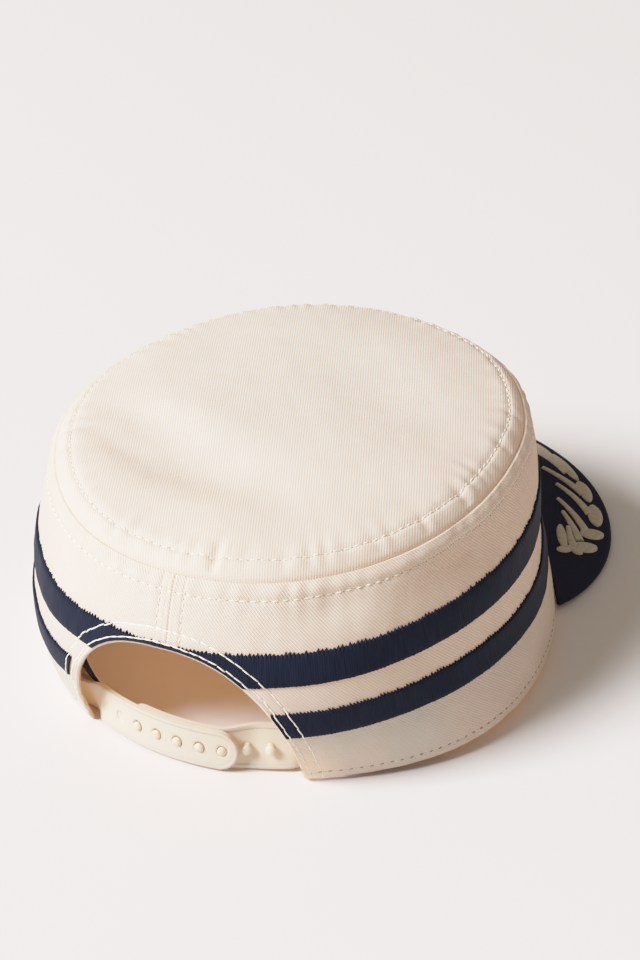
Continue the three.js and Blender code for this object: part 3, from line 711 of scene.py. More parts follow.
def stitches(parts, places, normals, sewing, seed):
    """Adds a row of stitches along a line of places: threads that dip into the cloth at each end."""
    rng = np.random.default_rng(SEED + seed)
    steps = np.linalg.norm(np.diff(places, axis=0), axis=1)
    run = np.concatenate([[0], np.cumsum(steps)])
    count = max(1, int(run[-1] / sewing.pitch))
    start = np.arange(count) * run[-1] / count
    length = sewing.length * rng.uniform(0.94, 1.04, count)
    share = np.linspace(0, 1, 7)
    at = start[:, None] + length[:, None] * share
    middle, normal = along_line(run, at, places), unit(along_line(run, at, normals))
    side = unit(np.cross(np.gradient(middle, axis=1), normal))
    sway = sewing.radius * sewing.wander * rng.normal(0, 1, (count, 2))
    sideways = sway[:, :1] + (sway[:, 1:] - sway[:, :1]) * share
    arc = np.sin(math.pi * share)
    rise = sewing.radius * (0.35 - sewing.sink * (1 - arc))
    middle = middle + side * sideways[..., None] + normal * rise[:, None]
    thick = sewing.radius * np.clip(np.sqrt(arc.clip(0)), sewing.blunt, 1)
    parts.tubes(six_sided(middle, side, normal, thick))
    # Dark discs at the needle holes between stitches: painted shade in the holes.
    if sewing.hole:
        gap = (run[-1] / count - sewing.length) / 2
        at = start[:, None] - gap + sewing.hole * MM * np.linspace(-1, 1, 3)
        middle, normal = along_line(run, at, places), unit(along_line(run, at, normals))
        side = unit(np.cross(np.gradient(middle, axis=1), normal))
        parts.slot = 1
        thick = 0.7 * sewing.hole * MM * np.array([0.5, 1, 0.5])
        parts.tubes(six_sided(middle, side, 0.4 * normal, thick))
        parts.slot = 0


def six_sided(middle, side, normal, thick):
    """Rings of six points round lines of places."""
    spin = np.arange(6)[:, None] * TURN / 6
    turned_out = side[:, :, None] * np.cos(spin) + normal[:, :, None] * np.sin(spin)
    return middle[:, :, None] + thick[None, :, None, None] * turned_out


def wall_stitches(parts, angle, share, proud, sizes, sewing, seed):
    """Adds a row of stitches along a line on the wall."""
    stitches(parts, on_wall(angle, share, proud, sizes), wall_normal(angle, share), sewing, seed)


def fill(tree, node, inputs):
    """Fills a shader node's inputs with values or links."""
    for name, value in inputs.items():
        if isinstance(value, bpy.types.NodeSocket):
            tree.links.new(value, node.inputs[name])
        else:
            node.inputs[name].default_value = value


def add_node(tree, kind, inputs=None, **settings):
    """Adds a shader node with its settings and inputs."""
    node = tree.nodes.new(kind)
    for name, value in settings.items():
        setattr(node, name, value)
    fill(tree, node, inputs or {})
    return node


def new_material(name):
    """An empty material with its tree and surface shader."""
    material = bpy.data.materials.new(name)
    material.use_nodes = True
    return material, material.node_tree, material.node_tree.nodes["Principled BSDF"]


def rgba(colour):
    """A colour with full opacity."""
    return (*colour[:3], 1.0)


def darker(colour, share):
    """A colour with a share of its light."""
    return [share * c for c in colour]


def bands(tree, weave, pitch, direction, inputs):
    """Bands that repeat at a pitch in metres along a direction of the weave."""
    inputs = {"Vector": weave, "Scale": TURN / (WAVE_RADIANS * pitch), **inputs}
    return add_node(tree, "ShaderNodeTexWave", inputs, bands_direction=direction).outputs["Fac"]


def noise(tree, place, scale, detail, roughness=0.5):
    """Noise with so many features in a metre."""
    inputs = {"Vector": place, "Scale": scale, "Detail": detail, "Roughness": roughness}
    return add_node(tree, "ShaderNodeTexNoise", inputs).outputs["Fac"]


def added(tree, value, weight, rest):
    """A weighted value added to the rest."""
    inputs = {0: value, 1: weight, 2: rest}
    return add_node(tree, "ShaderNodeMath", inputs, operation="MULTIPLY_ADD").outputs[0]


def remapped(tree, value, before, after):
    """A value taken from one range to another."""
    limits = zip(("From Min", "From Max", "To Min", "To Max"), (*before, *after))
    return add_node(tree, "ShaderNodeMapRange", {"Value": value, **dict(limits)}).outputs[0]


def toned(tree, colour, value):
    """A colour made lighter or darker by a value."""
    return add_node(tree, "ShaderNodeHueSaturation", {"Value": value, "Color": colour}).outputs[0]


def raised(tree, height, strength, depth):
    """The surface's direction over relief of a depth in metres."""
    inputs = {"Strength": strength, "Distance": depth, "Height": height}
    return add_node(tree, "ShaderNodeBump", inputs).outputs[0]


def weave_coordinates(tree):
    """Places over the cloth, in metres."""
    return add_node(tree, "ShaderNodeUVMap", uv_map="weave").outputs[0]


def object_coordinates(tree):
    """Places in the piece, in metres."""
    return add_node(tree, "ShaderNodeTexCoord").outputs["Object"]


def let_through(tree, surface, share, code, normal):
    """Mixes in a share of the light from behind, in its colour."""
    inputs = {"Color": rgba(to_linear(code)), "Normal": normal}
    glow = add_node(tree, "ShaderNodeBsdfTranslucent", inputs).outputs[0]
    both = add_node(tree, "ShaderNodeMixShader", {0: share, 1: surface.outputs[0], 2: glow}).outputs[0]
    tree.links.new(both, tree.nodes["Material Output"].inputs["Surface"])


def woven(name, light, between_ribs_shade, pitch, depth, through=0.0, glow="FFEBD3", sheen=0.1, gloss=0.25):
    """Cloth with ribs across its weave coordinates: matt and slightly fuzzy, with some light through it,
    and painted shade in the grooves between its ribs.
    """
    material, tree, surface = new_material(name)
    weave = weave_coordinates(tree)
    wander = {"Distortion": 0.9, "Detail": 2.0, "Detail Scale": 0.6, "Detail Roughness": 0.6}
    ribs = bands(tree, weave, pitch, "X", wander)
    # Threads about half a rib apart cross the ribs.
    threads = bands(tree, weave, pitch * 0.55, "Y", {"Distortion": 1.5, "Detail": 1.0})
    # Tone drifts over some 25 mm, and grain varies from thread to thread.
    cloud = noise(tree, weave, 40.0, 3.0)
    grain = noise(tree, weave, 1400.0, 2.0)
    relief = added(tree, grain, 0.5, added(tree, threads, 0.35, ribs))
    # The colour runs from the shade colour between the ribs to the light colour on them: painted shade in
    # the grooves, over the grain's own tone from thread to thread.
    tone = remapped(tree, relief, (0.2, 1.6), (0, 1))
    mixed = {"Factor": tone, 6: rgba(between_ribs_shade), 7: rgba(light)}
    colour = add_node(tree, "ShaderNodeMix", mixed, data_type="RGBA").outputs[2]
    normal = raised(tree, relief, 0.6, depth)
    fill(tree, surface, {
        "Base Color": toned(tree, colour, remapped(tree, cloud, (0.3, 0.7), (0.95, 1.02))),
        "Normal": normal, "Roughness": 0.9, "IOR": 1.5, "Specular IOR Level": gloss,
        "Sheen Weight": sheen, "Sheen Roughness": 0.5,
    })
    if through:
        # Light that comes through unbleached cotton is warm.
        let_through(tree, surface, through, glow, normal)
    return material


def crown_twill(name, rib_depth, sizes, colours):
    """The crown's cream twill, with ribs of a depth in millimetres."""
    return woven(name, colours.crown, colours.crown_painted_groove_shade, sizes.rib_pitch, rib_depth * MM, through=0.37)


def navy_cloth(name, colour, pitch):
    """Dull navy cotton, darker between its ribs with painted shade, and hardly any fuzz."""
    between_ribs_shade = darker(colour, NAVY_SHADE)
    return woven(name, colour, between_ribs_shade, pitch * MM, 0.08 * MM, sheen=0.03, gloss=0.15)


def twisted_thread(name, colour, pitch):
    """Sewing thread: a soft sheen, with fine filaments that vary in tone."""
    material, tree, surface = new_material(name)
    filaments = noise(tree, object_coordinates(tree), 1 / pitch, 3.0, 0.6)
    fill(tree, surface, {
        "Base Color": toned(tree, rgba(colour), remapped(tree, filaments, (0.3, 0.7), (0.8, 1.12))),
        "Normal": raised(tree, filaments, 0.5, 0.1 * MM),
        "Roughness": 0.6, "Specular IOR Level": 0.3, "Sheen Weight": 0.08,
    })
    return material


def embroidered(name, colour, sheen, pitch):
    """Satin stitched rayon: threads side by side, each catching the light along its length."""
    material, tree, surface = new_material(name)
    weave = weave_coordinates(tree)
    wander = {"Distortion": 1.4, "Detail": 2.0, "Detail Scale": 0.35}
    threads = bands(tree, weave, pitch, "X", wander)
    # Stretched noise gives each thread its own tone: fine across the threads, long along them.
    stretch = {0: weave, 1: (1.0, 0.12, 1.0)}
    stretched = add_node(tree, "ShaderNodeVectorMath", stretch, operation="MULTIPLY").outputs[0]
    # The colour is lighter along each strand and darker between strands: painted sheen and painted shade;
    # the stretched noise adds each thread's own tone.
    relief = added(tree, threads, 0.3, noise(tree, stretched, 1000.0, 3.0))
    fill(tree, surface, {
        "Base Color": toned(tree, rgba(colour), remapped(tree, relief, (0.3, 0.95), (0.7, 1.25))),
        "Normal": raised(tree, relief, 0.7, 0.13 * MM),
        "Roughness": 0.55, "Specular IOR Level": 0.12, "Specular Tint": rgba(sheen),
    })
    return material


def moulded_plastic(name, colour):
    """Soft moulded plastic: a dull gloss, and a warm glow where light gets through thin edges."""
    material, tree, surface = new_material(name)
    grain = noise(tree, object_coordinates(tree), 900.0, 2.0)
    normal = raised(tree, grain, 0.15, 0.05 * MM)
    fill(tree, surface, {
        "Base Color": rgba(colour), "Roughness": remapped(tree, grain, (0, 1), (0.38, 0.5)),
        "Normal": normal, "IOR": 1.5, "Subsurface Weight": 0.4,
        "Subsurface Radius": (1.0, 0.65, 0.4), "Subsurface Scale": 2.5 * MM,
    })
    let_through(tree, surface, 0.3, "FFE9CC", normal)
    return material


def painted_board(name, colour):
    """Matt painted board: even, with hardly any gloss."""
    material, tree, surface = new_material(name)
    cloud = noise(tree, object_coordinates(tree), 3.0, 2.0)
    fill(tree, surface, {
        "Base Color": toned(tree, rgba(colour), remapped(tree, cloud, (0, 1), (0.985, 1.015))),
        "Roughness": 0.7, "Specular IOR Level": 0.2,
    })
    return material


def turned(u, v, degrees):
    """Weave coordinates in metres, turned so that the ribs cross the first."""
    turn = math.radians(degrees)
    across = u * math.cos(turn) + v * math.sin(turn)
    along = v * math.cos(turn) - u * math.sin(turn)
    return np.stack([across, along], -1) * MM


def wall_columns():
    """Angles of the wall's columns once round from the back seam, close together on the arch."""
    flank = ARCH_HALF * np.sin(np.linspace(0, math.pi / 2, 70)) ** (2 / ARCH_FULLNESS)
    rest = np.linspace(ARCH_HALF, TURN - ARCH_HALF, 540)[1:-1]
    seam = (BACK_SEAM + np.linspace(-5.5, 5.5, 45)) / GIRTH % TURN
    return np.unique(np.concatenate([flank, seam, rest, TURN - flank[:0:-1]]))


def edge_rows(low, near_low, near_top, middle):
    """Shares of the height for rows that lie close together near both edges of the wall."""
    low = low[:, None] + np.array(near_low) / WALL_HEIGHT
    top = 1 - (SEAM_TUCK + np.array(near_top)[::-1]) / WALL_HEIGHT
    between = low[:, -1:] + (top[0] - low[:, -1:]) * np.linspace(0, 1, middle + 2)[1:-1]
    return np.concatenate([low, between, np.broadcast_to(top, (len(low), len(top)))], 1)


class CAP_OT_crown_side(bpy.types.Operator):
    """Sew the crown's wall, with its hem, puckered seam and arched opening"""

    bl_idname = "cap.crown_side"
    bl_label = "Crown side"

    def execute(self, context):
        sizes, colours = context.scene.cap_sizes, context.scene.cap_colours
        cloth = sizes.cloth / MM
        parts = MeshParts()
        columns = wall_columns()
        low = arch_share(columns)
        faces = []
        for inset, near_low, near_top, middle in (
            (0.0, OUTER_FOOT_ROWS, OUTER_SEAM_ROWS, 40),
            (cloth, INNER_FOOT_ROWS, INNER_SEAM_ROWS, 14),
        ):
            share = edge_rows(low, near_low, near_top, middle)
            angle = np.broadcast_to(columns[:, None], share.shape)
            edge = np.minimum((share - low[:, None]) * WALL_HEIGHT, 9)
            flank = arch_distance(signed_angle(angle) * GIRTH, share * WALL_HEIGHT)
            edge = np.minimum(edge, np.where(flank < 1.2, flank, 9))
            fall = rolled(edge, cloth / 2)
            proud = -fall if inset == 0 else fall - inset
            places = on_wall(angle, share, proud, sizes)
            faces.append(parts.add(places, turned(angle * GIRTH, share * WALL_HEIGHT, 42)))
        parts.shell(*faces, ring=True, inside=1)
        cream = crown_twill("cream cotton twill", 0.2, sizes, colours)
        shade = darker(colours.lining, LINING_SHADE)
        # The inner side's warmer colours stand in for the warm light that gathers inside the crown: painted
        # warm light.
        lining = woven(
            "inner cotton twill with painted warm light", colours.lining, shade, sizes.rib_pitch, 0.1 * MM,
            through=0.92, glow="F8D9B6",
        )
        piece = settle(parts.build("crown_wall", cream, lining), "crown_cloth", "crown_side")
        return {"FINISHED"}


class CAP_OT_crown_top(bpy.types.Operator):
    """Sew the crown's top panel, with its rounded seam, margin and pleats"""

    bl_idname = "cap.crown_top"
    bl_label = "Crown top"

    def execute(self, context):
        sizes, colours = context.scene.cap_sizes, context.scene.cap_colours
        parts = MeshParts()
        angle = np.linspace(0, TURN, 481)[:-1]
        ratio = np.concatenate([np.linspace(0, 0.83, 37), 1 - np.array(TOP_ROWS[::-1]) / TOP_REACH])
        grid = np.meshgrid(angle, ratio, indexing="ij")
        places = top_point(*grid, sizes)
        weave = turned(places[..., 0], places[..., 1], 21)
        outer = parts.add(places * MM, weave)
        below = places.copy()
        below[..., 2] -= sizes.cloth / MM * (0.8 + 0.2 * smoothstep(top_edge_distance(*grid), 0, 3))
        inner = parts.add(below[:, ::3] * MM, weave[:, ::3])
        parts.skin(outer, ring=True)
        parts.seam(outer[:, -1], inner[:, -1], ring=True)
        parts.slot = 1
        parts.skin(inner, ring=True)
        # Pressing leaves the top's ribs flatter than the wall's.
        pressed = crown_twill("pressed cream twill", 0.1, sizes, colours)
        # Its inside takes the inner twill with its painted warm light.
        lining = bpy.data.materials["inner cotton twill with painted warm light"]
        piece = settle(parts.build("crown_panel", pressed, lining, merge=1e-7), "crown_cloth", "crown_top")
        return {"FINISHED"}


class CAP_OT_stripes(bpy.types.Operator):
    """Embroider the two navy stripes round the wall, with teeth along their upper edges"""

    bl_idname = "cap.stripes"
    bl_label = "Stripes"

    def execute(self, context):
        sizes, colours = context.scene.cap_sizes, context.scene.cap_colours
        navy = embroidered("navy embroidery thread", colours.stripe, colours.stripe_sheen, sizes.strand)
        for name, node, shares, ring in (
            ("stripe_lower_thread", "stripe_lower", STRIPE_LOWER, False),
            ("stripe_upper_thread", "stripe_upper", STRIPE_UPPER, True),
        ):
            self.embroider(name, node, shares, ring, sizes, navy)
        return {"FINISHED"}

    def embroider(self, name, node, shares, ring, sizes, navy):
        """Makes one stripe from its lower to its upper share, clear of the arch."""
        rng = np.random.default_rng(SEED + len(name))
        teeth, steps = int(TURN * GIRTH / (sizes.tooth_pitch / MM)), 5
        turn = np.arange(teeth * steps + (0 if ring else 1)) / (teeth * steps)
        tooth = np.minimum((turn * teeth).astype(int), teeth - 1)
        within = turn * teeth - tooth
        # Each tooth rises slowly and falls fast.
        point = np.minimum(within / 0.66, (1 - within) / 0.34)
        thick = sizes.stripe / MM
        across = np.concatenate([[0, .015, .05, .12], np.linspace(0.25, 0.75, 4), [.88, .95, .985, 1]])
        low = shares[0] - rng.uniform(0, 0.3, teeth)[tooth] * point / WALL_HEIGHT
        high = shares[1] + (rng.uniform(0.5, 1.5, teeth)[tooth] * point - 0.7) / WALL_HEIGHT
        if ring:
            angle = np.broadcast_to((turn * TURN)[:, None], (len(turn), len(across)))
            low = np.maximum(low, arch_share(turn * TURN) + STRIPE_CLEAR_SHARE)
            share = low[:, None] + np.maximum(high - low, 0.004)[:, None] * across
        else:
            share = low[:, None] + (high - low)[:, None] * across
            start = arch_angle(share) + STRIPE_CLEAR_ANGLE
            angle = start + (TURN - 2 * start - STRIPE_SHORT) * turn[:, None]
        crest = np.sqrt(np.clip(1 - (2 * across - 1) ** 8, 0, 1))
        proud = np.broadcast_to(0.08 + thick * crest, share.shape)
        weave = turned(angle * GIRTH, share * WALL_HEIGHT, 0)
        parts = MeshParts()
        outer = parts.add(on_wall(angle, share, proud, sizes), weave)
        behind = on_wall(angle, share, np.full(share.shape, 0.05), sizes)
        parts.shell(outer, parts.add(behind, weave), ring)
        settle(parts.build(name, navy), "stripe_thread", node)


class CAP_OT_peak(bpy.types.Operator):
    """Cover the peak's board with navy cloth, rounded over its edge"""

    bl_idname = "cap.peak"
    bl_label = "Peak"

    def execute(self, context):
        colours = context.scene.cap_colours
        s = np.linspace(-PEAK_END, PEAK_END, 260)
        root_angle = math.pi + s * PEAK_ROOT_HALF
        root = wall_plan(root_angle, np.full_like(s, PEAK_ROOT_SHARE))
        root = root + 0.3 * plan_normal(root_angle, np.full_like(s, PEAK_ROOT_SHARE))
        edge = peak_edge(math.pi + s * PEAK_EDGE_HALF, 0.0)
        reach = np.linalg.norm(edge - root, axis=1)
        far = np.array(PEAK_ROWS[::-1]) / np.maximum(reach, 12)[:, None]
        rows = np.concatenate([(1 - far[:, :1]) * np.linspace(0, 1, 41)[:-1], 1 - far], 1)
        plan = root[:, None] + (edge - root)[:, None] * rows[..., None]
        gap = (1 - rows) * reach[:, None]
        side = (PEAK_END - np.abs(s))[:, None] * 60
        fall = rolled(np.minimum(gap, side), PEAK_THICK / 2)
        height = peak_height(plan[..., 0], plan[..., 1])
        height += 0.12 * soft_waves(plan[..., 0], plan[..., 1], 34, 8)
        weave = turned(plan[..., 0], plan[..., 1], 40)
        parts = MeshParts()
        slab(parts, plan, (height - fall, height + (fall - PEAK_THICK)), weave)
        navy = navy_cloth("navy cotton twill", colours.peak, 0.8)
        settle(parts.build("peak_cover", navy, merge=1e-7), "peak_cloth", "peak")
        return {"FINISHED"}


class CAP_OT_leaf_sprays(bpy.types.Operator):
    """Embroider the leaf sprays on the peak in padded satin stitch"""

    bl_idname = "cap.leaf_sprays"
    bl_label = "Leaf sprays"

    def execute(self, context):
        colours = context.scene.cap_colours
        straw = embroidered("straw embroidery thread", colours.leaf, colours.leaf, 0.5 * MM)
        for name, node, mirror in (
            ("leaf_spray_right_thread", "leaf_spray_right", 1),
            ("leaf_spray_left_thread", "leaf_spray_left", -1),
        ):
            parts = MeshParts()
            along = np.linspace(0, 1, 64)
            tapered = STALK_BASE + (STALK_END - STALK_BASE) * along
            tapered = tapered * smoothstep(along, -0.01, 0.03)
            for stalk in SPRAY_STALKS:
                self.pad(parts, self.middle(stalk, along, mirror), tapered, LEAF_HEIGHT)
            oval = np.sqrt(np.clip(1 - (2 * along - 1) ** 2, 0.003, 1))
            for *places, half_width in SPRAY_BLADES:
                self.pad(parts, self.middle(places, along, mirror), half_width * oval, LEAF_HEIGHT)
            settle(parts.build(name, straw), "leaf_thread", node)
        return {"FINISHED"}

    def middle(self, places, along, mirror):
        """Plan places along the middle of a stalk or blade, in millimetres."""
        weights = (1 - along) * (1 - 2 * along), 4 * along * (1 - along), along * (2 * along - 1)
        turn, inset = (sum(w * value for w, value in zip(weights, row)) for row in zip(*places))
        return peak_edge(mirror * np.radians(turn), inset)

    def pad(self, parts, middle, half_width, height):
        """Adds a raised pad of slanting threads along a line on the peak."""
        along = unit(np.gradient(middle, axis=0))
        normal = np.stack([along[:, 1], -along[:, 0]], -1)
        run = np.concatenate([[0], np.cumsum(np.linalg.norm(np.diff(middle, axis=0), axis=1))])
        across = np.sin(np.linspace(-1, 1, 11) * math.pi / 2)
        plan = middle[:, None] + normal[:, None] * (half_width[:, None] * across)[..., None]
        slant = run[:, None] + 0.7 * np.abs(half_width[:, None] * across)
        crown = np.sqrt(np.clip(1 - across**2, 0, 1))
        lift = height * crown * (0.9 + 0.1 * np.cos(slant * TURN / 0.9))
        lift = lift * np.clip(half_width / STALK_BASE, 0.15, 1)[:, None] + 0.06
        base = peak_height(plan[..., 0], plan[..., 1])
        weave = np.stack([slant, half_width[:, None] * across], -1) * MM
        slab(parts, plan, (base + lift, base + 0.05), weave)


class CAP_OT_sweatband(bpy.types.Operator):
    """Fit the navy sweatband inside the rim"""

    bl_idname = "cap.sweatband"
    bl_label = "Sweatband"

    def execute(self, context):
        sizes, colours = context.scene.cap_sizes, context.scene.cap_colours
        share = np.linspace(*BAND_SHARES, 16)
        angle = BAND_END + (TURN - 2 * BAND_END) * np.linspace(0, 1, BAND_COLUMNS)[:, None]
        angle, share = np.broadcast_arrays(angle, share)
        off_back = np.abs(signed_angle(angle))
        # Near its ends the band stands in from the wall, most at its foot.
        lean = 1.25 - 0.8 * (share - BAND_SHARES[0]) / (BAND_SHARES[1] - BAND_SHARES[0])
        press = BAND_PRESS * lean * (1 - smoothstep(off_back, BAND_PRESS_FULL, BAND_PRESS_END))
        weave = turned(angle * GIRTH, share * WALL_HEIGHT, 45)
        edge = np.minimum(share - BAND_SHARES[0], BAND_SHARES[1] - share) * WALL_HEIGHT
        wave = 0.12 * (1 + soft_waves(angle * GIRTH, share * WALL_HEIGHT, 26, 9)) + wall_dents(angle, share)
        parts = MeshParts()
        faces = []
        for inset, side in ((0.0, 1), (BAND_THICK, -1)):
            depth = sizes.cloth / MM + BAND_GAP + press + inset + side * rolled(edge, 0.45) + 0.2 + wave
            place = wall_point(angle, share)
            place[..., :2] -= plan_normal(angle, share) * depth[..., None]
            faces.append(parts.add(place * MM, weave))
        parts.shell(*faces)
        # Away from its ends the side against the wall is a pale backing, in the inner side's colours with
        # their painted warm light.
        parts.slots[0].reshape(len(angle) - 1, -1)[BAND_END_COLUMNS:-BAND_END_COLUMNS] = 1
        shade = darker(colours.lining, LINING_SHADE)
        backing = woven("cotton backing", colours.lining, shade, 0.9 * MM, 0.08 * MM)
        navy = navy_cloth("navy cotton drill", colours.band, 0.9)
        piece = settle(parts.build("inner_band", navy, backing), "sweatband_cloth", "sweatband")
        return {"FINISHED"}


class CAP_OT_strap(bpy.types.Operator):
    """Mould the two halves of the snap strap, lapped and snapped together"""

    bl_idname = "cap.strap"
    bl_label = "Snap strap"

    def execute(self, context):
        ivory = moulded_plastic("ivory plastic", context.scene.cap_colours.strap)
        self.holes_half(ivory)
        self.pegs_half(ivory)
        return {"FINISHED"}

    def place(self, along, up, depth, inset_at):
        """Places from strap coordinates in millimetres: along it, up from its middle, in from its face."""
        angle, height = along / GIRTH, STRAP_LIFT + STRAP_HEIGHT / 2 + up
        return strap_point(angle, height, inset_at(angle, height) + depth)

    def outline(self, root, tip):
        """Line round a strap half from its root over the top, round the tip and back."""
        half = STRAP_HEIGHT / 2
        sign = math.copysign(1, tip - root)
        start = tip - sign * TIP_ANGLE
        straight = np.linspace(root, start, 60)[:-1] * GIRTH
        turn = np.linspace(math.pi / 2, -math.pi / 2, 41)
        nose = start * GIRTH + sign * TIP_ANGLE * GIRTH * np.cos(turn)
        along = np.concatenate([straight, nose, straight[::-1]])
        flat = np.full_like(straight, half)
        up = np.concatenate([flat, half * np.sin(turn), -flat])
        return np.stack([along, up], -1)

    def border(self, parts, line, inset_at):
        """Adds the raised border that follows a strap's outline."""
        run = unit(np.gradient(line, axis=0))
        inner = np.stack([run[:, 1], -run[:, 0]], -1)
        inner = inner * np.sign(-(inner[0] * line[0])[1])
        ring = []
        for across, depth in BORDER_SECTION:
            spot = line + inner * across
            ring.append(self.place(spot[:, 0], spot[:, 1], np.full(len(line), depth), inset_at))
        parts.tubes(np.stack(ring, 1)[None])

    def holes_half(self, ivory):
        """Makes the outer half, with its row of round holes."""
        parts = MeshParts()
        half = STRAP_HEIGHT / 2
        for i in range(HOLES):
            centre = (SNAP_FIRST - SNAP_PITCH * i) * GIRTH
            loop, rim = self.cell_loop(half) if i else self.tip_loop(half, centre)
            self.cell(parts, centre, loop, rim, i < OPEN_HOLES)
        along = np.linspace((SNAP_FIRST - SNAP_PITCH * (HOLES - 0.5)) * GIRTH, -STRAP_ROOT * GIRTH, 40)
        side = np.linspace(-half, half, STRAP_ROWS)
        self.ribbon(parts, *np.meshgrid(along, side, indexing="ij"), holes_inset)
        self.border(parts, self.outline(-STRAP_ROOT, HOLES_TIP), holes_inset)
        piece = parts.build("strap_holes_plastic", ivory, merge=2e-6)
        piece.data.set_sharp_from_angle(angle=math.radians(40))
        settle(piece, "strap_plastic", "strap_holes")

    def line(self, along, up):
        """Places in strap coordinates, where one of the two may be the same all along."""
        return np.stack(np.broadcast_arrays(along, up), -1)

    def tip_loop(self, half, centre):
        """Loop round the hole at the strap's tip, and which of its steps lie on the strap's edge."""
        pitch = SNAP_PITCH * GIRTH
        side = np.linspace(-half, half, STRAP_ROWS)
        nose_start = (HOLES_TIP - TIP_ANGLE) * GIRTH - centre
        turn = np.linspace(-math.pi / 2, math.pi / 2, 31)
        nose = self.line(nose_start + TIP_ANGLE * GIRTH * np.cos(turn), half * np.sin(turn))
        under = np.linspace(-pitch / 2, nose_start, 6)[:-1]
        right = np.concatenate([self.line(under, -half), nose, self.line(under[::-1], half)])
        loop = np.concatenate([right, self.line(-pitch / 2, side[-2:0:-1])])
        return loop, np.arange(len(loop)) < len(right) - 1

    def cell_loop(self, half):
        """Loop round any other hole, and which of its steps lie on the strap's edge."""
        pitch = SNAP_PITCH * GIRTH
        side = np.linspace(-half, half, STRAP_ROWS)
        flat = np.linspace(pitch / 2, -pitch / 2, 9)
        loop = np.concatenate([
            self.line(pitch / 2, side[:-1]), self.line(flat[:-1], half),
            self.line(-pitch / 2, side[:0:-1]), self.line(flat[:0:-1], -half),
        ])
        return loop, np.arange(len(loop)) % (len(loop) // 2) >= STRAP_ROWS - 1

    def cell(self, parts, centre, loop, rim, pierced):
        """Adds the plastic round one hole, out to a loop; rim marks its steps on the strap's edge."""
        inner = unit(loop) * HOLE_RADIUS
        faces = []
        for depth, soft in ((0.0, 0.35), (STRAP_THICK, -0.35)):
            rows = []
            for share, fall in ((0, 1.0), (0.05, 0.3), (0.12, 0), (0.35, 0), (0.65, 0), (1, 0)):
                spot = inner + (loop - inner) * share
                sunk = np.full(len(loop), depth + soft * fall)
                rows.append(self.place(centre + spot[:, 0], spot[:, 1], sunk, holes_inset))
            if not pierced:
                # Unused holes keep a thin web of plastic.
                middle = np.full(len(loop), float(centre))
                sunk = np.full(len(loop), depth + math.copysign(WEB_DEPTH, soft))
                rows.insert(0, self.place(middle, 0 * middle, sunk, holes_inset))
            faces.append(parts.add(np.stack(rows, 1)))
            parts.skin(faces[-1], ring=True)
        if pierced:
            parts.seam(faces[0][:, 0], faces[1][:, 0], ring=True)
        outer, behind = faces[0][:, -1], faces[1][:, -1]
        quads = np.stack([outer, np.roll(outer, -1), np.roll(behind, -1), behind], -1)
        parts.cover(quads[rim])

    def ribbon(self, parts, along, up, inset_at):
        """Adds a plain length of strap over a grid of strap coordinates."""
        outer = parts.add(self.place(along, up, np.zeros(along.shape), inset_at))
        inner = parts.add(self.place(along, up, np.full(along.shape, STRAP_THICK), inset_at))
        parts.skin(outer)
        parts.skin(inner)
        for edge in (0, -1):
            parts.seam(outer[:, edge], inner[:, edge])
        parts.seam(outer[-1], inner[-1])

    def pegs_half(self, ivory):
        """Makes the inner half, with its row of pegs."""
        parts = MeshParts()
        half = STRAP_HEIGHT / 2
        start = PEGS_TIP + TIP_ANGLE
        nose = np.linspace(0.02, math.pi / 2, 12)
        straight = np.linspace(start, STRAP_ROOT, 90)[1:]
        along = np.concatenate([start - TIP_ANGLE * np.cos(nose), straight]) * GIRTH
        tall = np.concatenate([half * np.sin(nose).clip(0.12), np.full(len(straight), half)])
        up = tall[:, None] * np.linspace(-1, 1, STRAP_ROWS)
        along = np.broadcast_to(along[:, None], up.shape)
        self.ribbon(parts, along, up, pegs_inset)
        outer = self.place(along[:1], up[:1], np.zeros((1, STRAP_ROWS)), pegs_inset)
        inner = self.place(along[:1], up[:1], np.full((1, STRAP_ROWS), STRAP_THICK), pegs_inset)
        parts.seam(parts.add(outer)[0], parts.add(inner)[0])
        self.border(parts, self.outline(STRAP_ROOT, PEGS_TIP), pegs_inset)
        spin = np.linspace(0, TURN, 25)[:-1]
        for i in PEG_STEPS:
            centre = (SNAP_FIRST - SNAP_PITCH * i) * GIRTH
            rows = []
            for radius, depth in PEG_SECTION:
                along, up = centre + radius * np.cos(spin), radius * np.sin(spin)
                rows.append(self.place(along, up, np.full(len(spin), depth), pegs_inset))
            parts.skin(parts.add(np.stack(rows, 1)), ring=True)
        piece = parts.build("strap_pegs_plastic", ivory, merge=2e-6)
        piece.data.set_sharp_from_angle(angle=math.radians(40))
        settle(piece, "strap_plastic", "strap_pegs")


